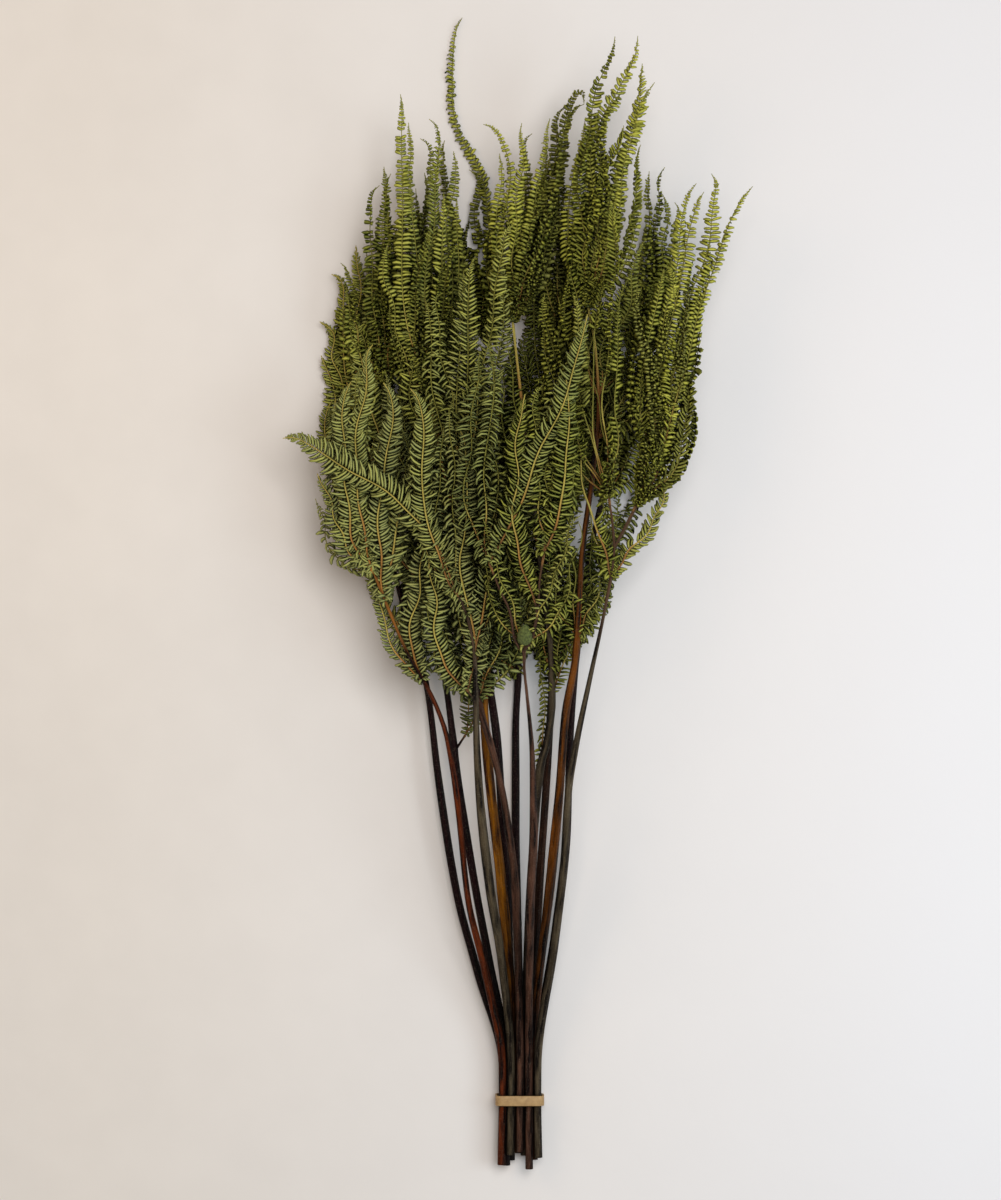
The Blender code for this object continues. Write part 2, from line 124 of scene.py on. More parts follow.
class Habit(Enum):
    """The ways that the pinnae have dried."""

    FLAT = Posture(fold=5, sweep=8, hook=52, curl=46, roll=20, unrest=12, size=0.86, pitch=2.35, width=0.96)
    FOLDED = Posture(fold=30, sweep=10, hook=46, curl=92, roll=38, unrest=16, size=0.8, pitch=3.1, width=0.6)
    HOOKED = Posture(
        fold=18, sweep=2, hook=-95, curl=84, roll=40, unrest=24, size=0.8, pitch=3.05, width=0.66
    )
    ROPED = Posture(fold=10, sweep=6, hook=44, curl=135, roll=34, unrest=11, size=0.74, pitch=3.0, width=0.84)


@dataclass(frozen=True)
class Split:
    """A strand that has split from a pinna.

    Attributes:
        aside: How far aside it lies, in strand gaps.
        length: Its share of the pinna's length.
        drop: How much lower it lies, in millimetres.
        coarseness: How much wider apart its leaflets are than others.
    """

    aside: float
    length: float = 1.0
    drop: float = 0.0
    coarseness: float = 1.0


PAIR = (Split(1.0), Split(-1.0, 1.0, 2.0), Split(2.8, 0.8, 6.0, 1.45))
SPLITS = {
    Habit.FLAT: (Split(0.0), Split(1.0, 1.0, 3.4), Split(-1.4, 0.85, 6.0, 1.45)),
    Habit.FOLDED: PAIR,
    Habit.HOOKED: PAIR,
    Habit.ROPED: (Split(0.0), Split(1.7, 0.86, 1.4), Split(-1.7, 0.74, 2.6), Split(3.4, 0.72, 6.0, 1.45)),
}


class StemTone(Enum):
    """The stem's finishes, by name."""

    DARK = "dark"
    SPECKLED = "speckled"
    GREY = "grey"
    MAUVE = "mauve"
    RUST = "rust"
    AMBER = "amber"
    EMBER = "ember"


@dataclass
class Pinna:
    """A comb-shaped leaf, from its fork through any waypoints to its tip.

    Attributes:
        tip: Where it ends.
        reach: How far its leaflets reach.
        way: Points on its way.
    """

    tip: tuple[float, float]
    reach: float = 12.0
    way: list[tuple[float, float]] = field(default_factory=list)


@dataclass
class Fork:
    """Where a branch ends and its pinnae start.

    Attributes:
        at: Where it is.
        pinnae: The pinnae that start there.
        way: Points on the branch's way from the stem.
        bud: The size of the resting bud, or 0.
    """

    at: tuple[float, float]
    pinnae: list[Pinna]
    way: list[tuple[float, float]] = field(default_factory=list)
    bud: float = 0.0


def fan(
    at: tuple[float, float],
    tips: list[tuple[float, float]],
    reach: float = 12.0,
    bud: float = 0.0,
    way: Iterable[tuple[float, float]] = (),
) -> Fork:
    """A fork whose pinnae run straight to their tips.

    Args:
        at: Where the fork is.
        tips: Where its pinnae end.
        reach: How far their leaflets reach.
        bud: The size of the resting bud, or 0.
        way: Points on the branch's way from the stem.

    Returns:
        The fork.
    """
    return Fork(at, [Pinna(tip, reach) for tip in tips], list(way), bud)


@dataclass
class Frond:
    """One stem with its forks.

    Attributes:
        name: The node that it stands for.
        layer: Its layer, from the lowest up.
        slot: Its stem's place in the band: across, and its row.
        cut_y: Where its stem was cut.
        tone: Its stem's finish.
        stem: Points that its stem passes through.
        forks: Its forks.
    """

    name: str
    layer: int
    slot: tuple[float, int]
    cut_y: float
    tone: StemTone
    stem: list[tuple[float, float]]
    forks: list[Fork]


FRONDS = [
    Frond(
        "frond_01", 0, (0.0, 0), 2.0, StemTone.DARK,
        [(-2, 183), (-3, 231), (-3, 297), (-1, 345), (-3, 390), (-10, 459), (-15, 528), (-21, 572)],
        [
            fan((-1, 338), [(-88, 478)], 15),
            fan((-1, 352), [(84, 482)], 14),
            fan((-7, 430), [(-66, 575), (58, 582)], 14),
            fan((-10, 459), [(-34, 592), (9, 614)], 13),
            Fork(
                (-21, 572),
                [
                    Pinna(
                        (-45, 800), 10,
                        [(-19, 636), (-23, 668), (-31, 690), (-41, 714), (-47, 742), (-50, 769)],
                    ),
                    Pinna((-58, 712), 10),
                    Pinna((-33, 694), 11),
                    Pinna((2, 690), 11),
                ],
                [],
                7,
            ),
        ],
    ),
    Frond(
        "frond_02", 1, (-2.0, 0), 0.0, StemTone.DARK,
        [(-30, 130), (-44, 183), (-57, 264), (-65, 328), (-79, 376), (-93, 431), (-102, 480), (-108, 507)],
        [
            Fork((-72, 352), [Pinna((-114, 456), 9), Pinna((-66, 474), 13)]),
            fan((-93, 431), [(-137, 530), (-76, 556)], 14),
            fan((-100, 470), [(-136, 562), (-92, 566)], 13),
            fan((-108, 507), [(-136, 588), (-125, 622), (-115, 638), (-99, 645)], 11, 6),
        ],
    ),
    Frond(
        "frond_03", 2, (2.0, 0), 4.0, StemTone.DARK,
        [
            (25, 160), (30, 197), (33, 231), (34, 262), (35, 293), (39, 346),
            (48, 417), (62, 480), (72, 528), (78, 562),
        ],
        [
            fan((40, 360), [(14, 470), (66, 472)], 13),
            fan((58, 462), [(33, 596), (100, 570)], 14),
            fan((64, 490), [(56, 610), (88, 602)], 13),
            fan((78, 562), [(91, 689), (99, 693), (105, 674), (112, 668)], 11, 6),
        ],
    ),
    Frond(
        "frond_04", 3, (-1.0, 0), -3.0, StemTone.DARK,
        [
            (-9, 183), (-12, 231), (-16, 291), (-21, 330), (-26, 377), (-35, 431),
            (-45, 486), (-52, 528), (-55, 562),
        ],
        [
            fan((-24, 362), [(-62, 472), (-4, 482)], 14),
            fan((-35, 431), [(-90, 560), (-10, 560)], 14),
            fan((-43, 475), [(-74, 606), (-32, 612)], 13),
            fan((-55, 562), [(-96, 687), (-79, 722), (-62, 714), (-46, 702)], 10, 6),
        ],
    ),
    Frond(
        "frond_05", 4, (1.0, 0), 5.0, StemTone.SPECKLED,
        [(13, 183), (18, 258), (21, 310), (25, 376), (28, 445), (29, 507), (31, 565)],
        [
            fan((23, 345), [(-2, 446), (48, 450)], 12),
            fan((28, 445), [(-4, 582), (66, 572)], 14),
            fan((29, 490), [(12, 612), (48, 604)], 13),
            Fork(
                (31, 565),
                [
                    Pinna((2, 716), 11),
                    Pinna((22, 735), 12),
                    Pinna((49, 737), 12, [(22, 640), (25, 690), (33, 728), (41, 743)]),
                    Pinna((54, 724), 11),
                ],
                [],
                6,
            ),
        ],
    ),
    Frond(
        "frond_06", 5, (-1.5, 1), -6.0, StemTone.DARK,
        [
            (-22, 140), (-30, 183), (-38, 231), (-43, 263), (-50, 321), (-62, 390),
            (-76, 452), (-86, 500), (-91, 541),
        ],
        [
            fan((-38, 296), [(-52, 405), (-34, 430)], 9),
            fan((-64, 397), [(-131, 528), (-46, 520)], 14),
            fan((-80, 470), [(-112, 590), (-68, 596)], 13),
            fan((-91, 541), [(-120, 626), (-104, 679), (-94, 690), (-80, 668)], 11, 6),
        ],
    ),
    Frond(
        "frond_07", 6, (0.5, 1), 1.0, StemTone.GREY,
        [
            (7, 183), (10, 231), (14, 275), (19, 293), (22, 321), (21.5, 348),
            (17, 390), (9, 459), (1, 528), (-5, 582),
        ],
        [
            fan((14, 275), [(9, 388)], 8),
            fan((22, 325), [(44, 432)], 11),
            fan((22, 340), [(2, 446)], 12),
            fan((15, 400), [(-28, 522), (50, 530)], 14),
            fan((7, 465), [(-14, 590), (28, 588)], 13),
            Fork(
                (-5, 582),
                [
                    Pinna((-22, 722), 10, [(-8, 640), (-9, 680), (-13, 706)]),
                    Pinna((-2, 719), 10),
                    Pinna((18, 722), 11),
                    Pinna((36, 736), 11),
                ],
                [],
                7,
            ),
        ],
    ),
    Frond(
        "frond_08", 7, (-0.5, 1), 3.0, StemTone.AMBER,
        [(-13, 192), (-19, 245), (-24, 297), (-27, 348), (-37, 404), (-48, 459), (-57, 500), (-62, 528)],
        [
            fan((-26, 328), [(-52, 440), (-6, 444)], 14),
            fan((-45, 442), [(-92, 548), (-22, 560)], 14),
            fan((-54, 488), [(-74, 590), (-46, 600)], 13),
            fan((-62, 528), [(-96, 636), (-79, 738), (-54, 723), (-46, 640)], 11, 6),
        ],
    ),
    Frond(
        "frond_09", 8, (1.5, 1), -2.0, StemTone.EMBER,
        [
            (22, 205), (27, 258), (31, 310), (38, 350), (43, 424), (50, 477),
            (54, 524), (52, 562), (47, 591),
        ],
        [
            fan((38, 362), [(20, 462), (60, 464)], 13),
            fan((52, 500), [(14, 600), (102, 610)], 14),
            fan((54, 530), [(34, 640), (84, 640)], 13),
            Fork(
                (47, 591),
                [
                    Pinna((67, 776), 10, [(43, 650), (45, 700), (50, 731), (56, 752)]),
                    Pinna((80, 777), 12, [(50, 650), (48, 690), (53, 722), (64, 739), (75, 758)]),
                    Pinna((79, 758), 14, [(60, 650), (70, 700), (78, 730)]),
                    Pinna((94, 744), 10, [(66, 650), (75, 700), (84, 725)]),
                ],
                [],
                7,
            ),
        ],
    ),
    Frond(
        "frond_10", 9, (0.0, 2), 4.0, StemTone.MAUVE,
        [
            (-3, 183), (-9, 238), (-14, 266), (-21, 293), (-28, 317),
            (-32, 345), (-34, 376), (-37, 417), (-39, 461),
        ],
        [
            fan((-28, 321), [(-54, 436), (4, 442)], 13),
            fan((-34, 390), [(-78, 510), (-6, 524)], 14),
            fan((-39, 461), [(-62, 606), (-36, 628), (-8, 648)], 13, 6),
        ],
    ),
    Frond(
        "frond_11", 10, (2.0, 2), 0.0, StemTone.GREY,
        [(24, 150), (30, 205), (33, 258), (37, 284), (48, 337), (58, 383), (64, 417), (65, 428)],
        [
            Fork((60, 405), [Pinna((97, 486), 9, [(79, 427), (92, 441), (99, 456)]), Pinna((38, 520), 13)]),
            fan((61, 459), [(40, 600), (64, 664)], 13, 0, [(63, 445)]),
            fan((79, 454), [(80, 606), (104, 622)], 13),
            Fork(
                (94, 478),
                [
                    Pinna((118, 677), 11, [(90, 530), (98, 580), (108, 630)]),
                    Pinna((127, 670), 11, [(94, 520), (103, 570), (115, 620)]),
                    Pinna((140, 682), 11, [(98, 510), (106, 550), (113, 578), (126, 628)]),
                    Pinna((159, 675), 9, [(101, 505), (114, 555), (125, 597), (142, 643)]),
                ],
                [(86, 465)],
            ),
        ],
    ),
    Frond(
        "frond_12", 11, (-2.0, 2), -5.0, StemTone.RUST,
        [
            (-24, 130), (-36, 183), (-43, 250), (-50, 295), (-57, 316), (-65, 332),
            (-77, 353), (-90, 383), (-100, 408),
        ],
        [
            Fork((-66, 334), [Pinna((-104, 430), 8), Pinna((-64, 446), 12)]),
            fan((-92, 388), [(-72, 500), (-88, 540)], 13),
            fan((-100, 408), [(-139, 477), (-124, 540), (-106, 566)], 12),
        ],
    ),
    Frond(
        "frond_13", 12, (-1.0, 2), 2.0, StemTone.GREY,
        [(-13, 140), (-21, 192), (-28, 258), (-30, 297), (-31, 348), (-36, 378), (-42, 392)],
        [
            Fork(
                (-36, 328),
                [
                    Pinna((-58, 428), 11),
                    Pinna((-38, 508), 12, [(-31, 352), (-35, 371), (-41, 399), (-43, 417), (-40, 440)]),
                ],
            ),
            fan((-32, 352), [(-14, 486)], 13),
            Fork(
                (-42, 392),
                [Pinna((-160, 509), 12, [(-62, 436), (-84, 456), (-118, 476)]), Pinna((-70, 536), 13)],
            ),
            fan((-36, 378), [(-52, 520)], 13),
        ],
    ),
    Frond(
        "frond_14", 13, (1.0, 2), -8.0, StemTone.MAUVE,
        [(7, 183), (9, 231), (8, 284), (4, 330), (2.5, 346), (2.8, 358)],
        [
            Fork(
                (-21, 415),
                [Pinna((-25, 566), 14), Pinna((46, 584), 13, [(-2, 450), (12, 492), (32, 532)])],
                [(-3.5, 362), (-7, 381.5), (-14, 397)],
            ),
            fan((9, 392), [(2, 530)], 13, 0, [(7, 362), (11, 381)]),
            fan((16, 421), [(14, 536), (34, 540)], 13, 0, [(7.5, 362), (12, 382), (13, 402)]),
            fan((2.8, 358), [(-26, 444), (40, 448)], 11, 16),
        ],
    ),
]


def run_length(path: np.ndarray) -> np.ndarray:
    """How far along a path each of its points is.

    Args:
        path: The points, one to a row.

    Returns:
        The distance of each point from the first.
    """
    steps = np.linalg.norm(np.diff(path, axis=0), axis=1)
    return np.concatenate([[0.0], np.cumsum(steps)])


def resample(path: np.ndarray, count: int) -> np.ndarray:
    """Points at equal distances along a path.

    Args:
        path: The points, one to a row.
        count: How many points to give.

    Returns:
        The new points.
    """
    along = run_length(path)
    wanted = np.linspace(0.0, along[-1], count)
    return np.stack([np.interp(wanted, along, path[:, axis]) for axis in range(path.shape[1])], axis=1)


def through(points: list[tuple[float, float]], steps: int = 12) -> np.ndarray:
    """A smooth curve through points.

    Args:
        points: The points.
        steps: How many steps each span takes.

    Returns:
        Points on the curve.
    """
    given = np.array(points, dtype=float)
    ends = np.vstack([2 * given[0] - given[1], given, 2 * given[-1] - given[-2]])
    found = []
    t = np.linspace(0.0, 1.0, steps, endpoint=False)[:, None]
    for before, start, end, after in zip(ends, ends[1:], ends[2:], ends[3:]):
        turn = 2 * before - 5 * start + 4 * end - after
        twist = 3 * start - before - 3 * end + after
        found.append(0.5 * (2 * start + (end - before) * t + turn * t**2 + twist * t**3))
    return np.vstack([*found, given[-1:]])


@dataclass
class Layout:
    """Where the flat layers lie in the laid bunch. Lengths are millimetres."""

    band_y: float = 40.0
    fan_start: float = 62.0
    fan_end: float = 290.0
    pitch: float = 7.2
    layers: int = 14
    edge_droop: float = 0.26
    droop_width: float = 150.0
    tip_lift: float = 0.28
    lift_start: float = 500.0
    lift_length: float = 300.0
    wave_height: float = 2.6
    wave_across: float = 95.0
    wave_along: float = 165.0
    wave_through: float = 110.0
    stem_radius: float = 2.85
    stem_gap: float = 0.45
    band_thickness: float = 1.5
    band_sides: int = 24
    cut_spread: float = 1.05
    bare_frond: str = "frond_09"
    bare_start: float = 395.0
    bare_end: float = 575.0
    bare_samples: int = 40
    shift: np.ndarray = field(default_factory=lambda: np.zeros(3))

    def settle(self, band: tuple[Vector, Vector]) -> None:
        """Works out where the bunch lies from its band.

        Args:
            band: The lowest and highest corners of the band's node.
        """
        low, high = band
        self.shift = np.array([0.5 * (low.x + high.x), 0.5 * (low.y + high.y) - self.band_y * MM, low.z])

    def lay(self, flat: np.ndarray) -> np.ndarray:
        """Points of the flat layers as they lie in the bunch.

        Args:
            flat: Across, along and height of each point, in millimetres.

        Returns:
            The points, in metres.
        """
        x, y, height = flat[:, 0], flat[:, 1], flat[:, 2]
        share = np.clip(height / (self.pitch * self.layers), 0.0, 1.0)
        droop = 1.0 - self.edge_droop * (x / self.droop_width) ** 2
        lift = 1.0 + self.tip_lift * smooth((y - self.lift_start) / self.lift_length)
        phase = x / self.wave_across + y / self.wave_along + height / self.wave_through
        wave = self.wave_height * np.sin(2 * np.pi * phase) * smooth((y - self.fan_end) / self.lift_length)
        laid = np.stack([x, y, height * droop * lift + wave * np.sin(np.pi * share)], axis=1)
        return laid * MM + self.shift

    def bare_stem(self) -> np.ndarray:
        """The stretch of a stem that no leaflet lies over.

        Returns:
            Points along it, in metres.
        """
        frond = next(frond for frond in FRONDS if frond.name == self.bare_frond)
        ys = np.linspace(self.bare_start, self.bare_end, self.bare_samples)
        return self.lay(np.array([[self.stem_across(frond, y), y, self.stem_height(frond, y)] for y in ys]))

    def slot_centre(self, slot: tuple[float, int]) -> tuple[float, float]:
        """A stem's centre in the band.

        Args:
            slot: The stem's place across, and its row.

        Returns:
            How far across it is, and how high.
        """
        across, row = slot
        pitch = 2 * self.stem_radius + self.stem_gap
        outside = self.stem_radius + self.stem_gap + self.band_thickness
        lowest = outside * math.cos(math.pi / self.band_sides)
        return across * pitch, lowest + row * 0.5 * math.sqrt(3.0) * pitch

    def stem_height(self, frond: Frond, y: float) -> float:
        """The height of a frond's stem: its row in the band, then its own layer.

        Args:
            frond: The frond.
            y: How far along the bunch.

        Returns:
            The height in the flat layers.
        """
        bundled = self.slot_centre(frond.slot)[1]
        rise = smooth((y - self.fan_start) / (self.fan_end - self.fan_start))
        return bundled + ((frond.layer + 0.5) * self.pitch - bundled) * rise

    def stem_across(self, frond: Frond, y: float) -> float:
        """How far across the bunch a frond's stem is.

        Args:
            frond: The frond.
            y: How far along the bunch.

        Returns:
            The distance across, on a smooth curve through the stem's points.
        """
        across = self.slot_centre(frond.slot)[0]
        held = [(across * self.cut_spread, frond.cut_y), (across, self.band_y), (across, self.fan_start)]
        points = [*held, *frond.stem]
        last = len(points) - 1
        i = next((k for k in range(last) if y <= points[k + 1][1]), last - 1)

        def rate(k: int) -> float:
            """How fast the stem drifts across, from one point to the next."""
            (xa, ya), (xb, yb) = points[k], points[k + 1]
            return (xb - xa) / (yb - ya)

        def slope(k: int) -> float:
            """How fast it drifts at a point, without swinging past it."""
            before, after = rate(max(k - 1, 0)), rate(min(k, last - 1))
            return 2.0 * before * after / (before + after) if before * after > 0.0 else 0.0

        (x0, y0), (x1, y1) = points[i], points[i + 1]
        span = y1 - y0
        t = (y - y0) / span
        return (
            (2 * t**3 - 3 * t**2 + 1) * x0
            + (t**3 - 2 * t**2 + t) * span * slope(i)
            + (3 * t**2 - 2 * t**3) * x1
            + (t**3 - t**2) * span * slope(i + 1)
        )


@dataclass
class Strand:
    """A narrow leaf of a pinna.

    Attributes:
        midline: Its rachis, in metres.
        reach: How far its pinna's leaflets reach, in millimetres.
        habit: How it has dried.
        bloom: How grey it is, 0 to 1.
        light: How much lighter it is painted than others, as painted light and shade by where it lies, as a
            share of the way from the leaf's dark colour to its light one.
        coarseness: How much wider apart its leaflets are than others.
    """

    midline: np.ndarray
    reach: float
    habit: Habit
    bloom: float
    light: float = 0.0
    coarseness: float = 1.0


@dataclass
class Growth:
    """The paths that a frond grows along. Lengths are millimetres and turns are degrees."""

    layout: Layout
    branch_lean: float = 1.3
    shortest_branch: float = 4.0
    stem_top_radius: float = 1.7
    leaving_turn: float = 1.9
    leaving_share: float = 0.36
    arriving_turn: float = 0.5
    arriving_share: float = 0.38
    settle_share: float = 0.16
    fork_level: float = 0.4
    pinna_level: float = 1.3
    samples: int = 72
    wiggle: float = 1.7
    wave_turns: tuple[float, ...] = (0.8, 1.7, 3.1)
    tip_turn: float = 85.0
    turn_length: float = 17.0
    bow: float = 3.2
    bow_range: tuple[float, float] = (-0.3, 1.0)
    rib_height: float = 0.5
    branch_samples: int = 14
    fewest_samples: int = 8
    strand_gap: float = 0.4
    shorter: tuple[float, float] = (0.8, 0.97)
    parting: float = 3.0
    closing: float = 0.55
    sinking: float = 4.0
    front_flat_share: float = 0.5
    slender: float = 9.0
    # Painted light and shade on the leaf tone by where a fork lies: ropes and the left side lighter, the
    # middle and the crown's outer edges darker.
    roped_light: float = 0.18
    outer_dark: float = 0.26
    outer_from: tuple[float, float] = (40.0, 500.0)
    outer_over: tuple[float, float] = (35.0, 30.0)
    left_light: float = 0.34
    left_from: tuple[float, float] = (-20.0, 370.0)
    left_over: tuple[float, float] = (40.0, 60.0)
    middle_dark: float = 0.2
    middle_x: float = 10.0
    middle_from: float = 35.0
    middle_over: float = 30.0
    strap_left: float = -150.0
    strap_reach: float = 1.4
    highest: float = 790.0
    open_right: float = 55.0
    open_top: float = 480.0
    lowest: float = 1.4
    crown_y: float = 525.0
    front_layer: int = 10
    flat_left: float = -62.0
    roped_right: float = 48.0
    roped_y: float = 410.0
    bloom_y: float = 560.0
    bloom_height: float = 170.0
    bloom_right: float = 20.0
    bloom_width: float = 70.0
    bloom_layers: tuple[float, float] = (-6.0, 12.0)
    least_bloom: float = 0.06
    more_bloom: float = 0.78
    bloom_chance: float = 0.12

    def stem(self, frond: Frond, step: float = 7.0) -> np.ndarray:
        """A stem's centre line.

        Args:
            frond: The frond.
            step: The distance between points.

        Returns:
            Points in the flat layers.
        """
        top = frond.stem[-1][1]
        ys = np.linspace(frond.cut_y, top, round((top - frond.cut_y) / step) + 1)
        layout = self.layout
        return np.array([(layout.stem_across(frond, y), y, layout.stem_height(frond, y)) for y in ys])

    def branch(self, frond: Frond, fork: Fork) -> np.ndarray | None:
        """The way from inside the stem to a fork.

        Args:
            frond: The frond.
            fork: The fork.

        Returns:
            Points in the flat layers, or None for a fork on the stem itself.
        """
        first = (fork.way or [fork.at])[0]
        top = frond.stem[-1][1]
        aside = abs(first[0] - self.layout.stem_across(frond, min(first[1], top)))
        if aside < self.shortest_branch and not fork.way:
            return None
        root_y = min(first[1] - self.branch_lean * aside, top - self.stem_top_radius)
        root = (self.layout.stem_across(frond, root_y), root_y)
        plan = resample(through([root, *fork.way, fork.at]), self.branch_samples)
        heights = [self.layout.stem_height(frond, y) for y in plan[:, 1]]
        return np.column_stack([plan, heights])

    def start(self, frond: Frond, fork: Fork, branch: np.ndarray | None) -> tuple[np.ndarray, np.ndarray]:
        """Where a fork's pinnae start, and which way the wood heads there.

        Args:
            frond: The frond.
            fork: The fork.
            branch: The fork's branch, or None.

        Returns:
            The plan point and the plan heading.
        """
        if branch is not None:
            heading = branch[-1, :2] - branch[-2, :2]
            return branch[-1, :2], heading / np.linalg.norm(heading)
        y = fork.at[1]
        below = y - self.shortest_branch
        point = np.array([self.layout.stem_across(frond, y), y])
        heading = point - np.array([self.layout.stem_across(frond, below), below])
        return point, heading / np.linalg.norm(heading)

    def plan(self, pinna: Pinna, start: np.ndarray, heading: np.ndarray) -> np.ndarray:
        """A pinna's midline seen from above.

        Args:
            pinna: The pinna.
            start: Where it starts.
            heading: Which way the wood heads there.

        Returns:
            Plan points at equal distances.
        """
        tip = np.array(pinna.tip, dtype=float)
        if pinna.way:
            return resample(through([tuple(start), *pinna.way, pinna.tip]), self.samples)
        length = np.linalg.norm(tip - start)
        lean = np.array([(tip[0] - start[0]) / length, 0.0])
        leave = heading + self.leaving_turn * lean
        arrive = np.array([0.0, 1.0]) + self.arriving_turn * lean
        first = start + leave / np.linalg.norm(leave) * length * self.leaving_share
        second = tip - arrive / np.linalg.norm(arrive) * length * self.arriving_share
        t = np.linspace(0.0, 1.0, self.samples)[:, None]
        s = 1.0 - t
        curve = s**3 * start + 3 * s * s * t * first + 3 * s * t * t * second + t**3 * tip
        return resample(curve, self.samples)

    def midline(self, frond: Frond, number: int, fork: Fork, place: int, dice: random.Random) -> np.ndarray:
        """A pinna's midline.

        Args:
            frond: The frond.
            number: The fork's place in the frond.
            fork: The fork.
            place: The pinna's place in the fork.
            dice: The source of chance.

        Returns:
            Points in the flat layers.
        """
        start, heading = self.start(frond, fork, self.branch(frond, fork))
        plan = self.plan(fork.pinnae[place], start, heading)
        share = np.linspace(0.0, 1.0, len(plan))
        plan = self.stray(plan, share, dice)
        root = self.layout.stem_height(frond, start[1])
        level = frond.layer * self.layout.pitch + number * self.fork_level + place * self.pinna_level
        height = root + (level + self.rib_height - root) * smooth(share / self.settle_share)
        height = height + self.bow * dice.uniform(*self.bow_range) * np.sin(np.pi * share) ** 2
        return np.column_stack([plan, height])

    def strands(self, frond: Frond, number: int, fork: Fork, place: int, dice: random.Random) -> list[Strand]:
        """The narrow strands that a pinna has split into.

        Args:
            frond: The frond.
            number: The fork's place in the frond.
            fork: The fork.
            place: The pinna's place in the fork.
            dice: The source of chance.

        Returns:
            The strands. The first is the longest.
        """
        pinna = fork.pinnae[place]
        habit = self.habit(frond, fork, dice)
        bloom = self.bloom(frond, fork) + dice.uniform(-self.bloom_chance, self.bloom_chance)
        found = []
        for split in self.splits(habit, dice)[: self.most_strands(pinna)]:
            flat = self.midline(frond, number, fork, place, dice)
            kept = max(self.fewest_samples, round(split.length * len(flat)))
            flat = resample(flat[:kept], len(flat))
            share = np.linspace(0.0, 1.0, len(flat))
            ahead = np.gradient(flat[:, :2], axis=0)
            ahead /= np.linalg.norm(ahead, axis=1)[:, None]
            side = np.stack([ahead[:, 1], -ahead[:, 0]], axis=1)
            closed = 1.0 - self.closing * smooth(share * 2.0 - 1.0)
            spread = split.aside * pinna.reach * smooth(share * self.parting) * closed
            flat[:, :2] += side * spread[:, None]
            flat[:, 2] = np.maximum(flat[:, 2] - split.drop * smooth(share * self.sinking), self.lowest)
            worn = Habit.HOOKED if habit is Habit.FLAT and split.drop > 0.0 else habit
            reach = pinna.reach * (self.strap_reach if pinna.tip[0] < self.strap_left else 1.0)
            # Painted light and shade by where the fork lies.
            light = self.light(fork, habit)
            found.append(Strand(self.layout.lay(flat), reach, worn, bloom, light, split.coarseness))
        return found

    def splits(self, habit: Habit, dice: random.Random) -> list[Split]:
        """How one pinna has split. All strands but the first are shorter by chance.

        Args:
            habit: How the pinna has dried.
            dice: The source of chance.

        Returns:
            The strands, with how far aside they lie as a share of the pinna's reach.
        """
        shares = [1.0, *(dice.uniform(*self.shorter) for _ in range(3))]
        gap = self.strand_gap * dice.choice((-1.0, 1.0))
        return [
            Split(gap * split.aside, share * split.length, split.drop, split.coarseness)
            for split, share in zip(SPLITS[habit], shares)
        ]

    def most_strands(self, pinna: Pinna) -> int:
        """The most strands that a pinna has: slender ones haven't split.

        Args:
            pinna: The pinna.

        Returns:
            The number of strands.
        """
        end = pinna.tip
        if end[0] < self.strap_left:
            return 1
        lone = end[1] > self.highest or (end[0] > self.open_right and end[1] < self.open_top)
        return 1 if lone or pinna.reach <= self.slender else 4

    def habit(self, frond: Frond, fork: Fork, dice: random.Random) -> Habit:
        """How a fork's pinnae have dried: flat in front and low down, rolled into ropes in the crown.

        Args:
            frond: The frond.
            fork: The fork.
            dice: The source of chance.

        Returns:
            The habit.
        """
        if fork.at[1] > self.crown_y or (fork.at[0] > self.roped_right and fork.at[1] > self.roped_y):
            return Habit.ROPED
        in_front = frond.layer >= self.front_layer and dice.random() < self.front_flat_share
        strap = min(pinna.tip[0] for pinna in fork.pinnae) < self.strap_left
        if in_front or strap or fork.at[0] < self.flat_left:
            return Habit.FLAT
        return dice.choice([Habit.HOOKED, Habit.HOOKED, Habit.FOLDED])

    def bloom(self, frond: Frond, fork: Fork) -> float:
        """How grey a fork's pinnae are: the most low down on the left.

        Args:
            frond: The frond.
            fork: The fork.

        Returns:
            The bloom, 0 to 1.
        """
        low = smooth((self.bloom_y - fork.at[1]) / self.bloom_height)
        left = smooth((self.bloom_right - fork.at[0]) / self.bloom_width)
        start, layers = self.bloom_layers
        return self.least_bloom + self.more_bloom * low * left * smooth((frond.layer - start) / layers)

    def light(self, fork: Fork, habit: Habit) -> float:
        """How much lighter a fork's pinnae are painted, as painted light and shade by place: the ropes and
        the left side lighter, the middle and the crown's outer edges darker.

        Args:
            fork: The fork.
            habit: How its pinnae have dried.

        Returns:
            The part added to the leaves' tone.
        """
        x, y = fork.at
        if habit is Habit.ROPED:
            aside = smooth((abs(x) - self.outer_from[0]) / self.outer_over[0])
            high = smooth((y - self.outer_from[1]) / self.outer_over[1])
            return self.roped_light - self.outer_dark * (aside * high)
        if min(pinna.tip[0] for pinna in fork.pinnae) < self.strap_left:
            return self.left_light
        aside = smooth((self.left_from[0] - x) / self.left_over[0])
        high = smooth((y - self.left_from[1]) / self.left_over[1])
        middle = 1.0 - smooth((abs(x - self.middle_x) - self.middle_from) / self.middle_over)
        return self.left_light * (aside * high) - self.middle_dark * middle

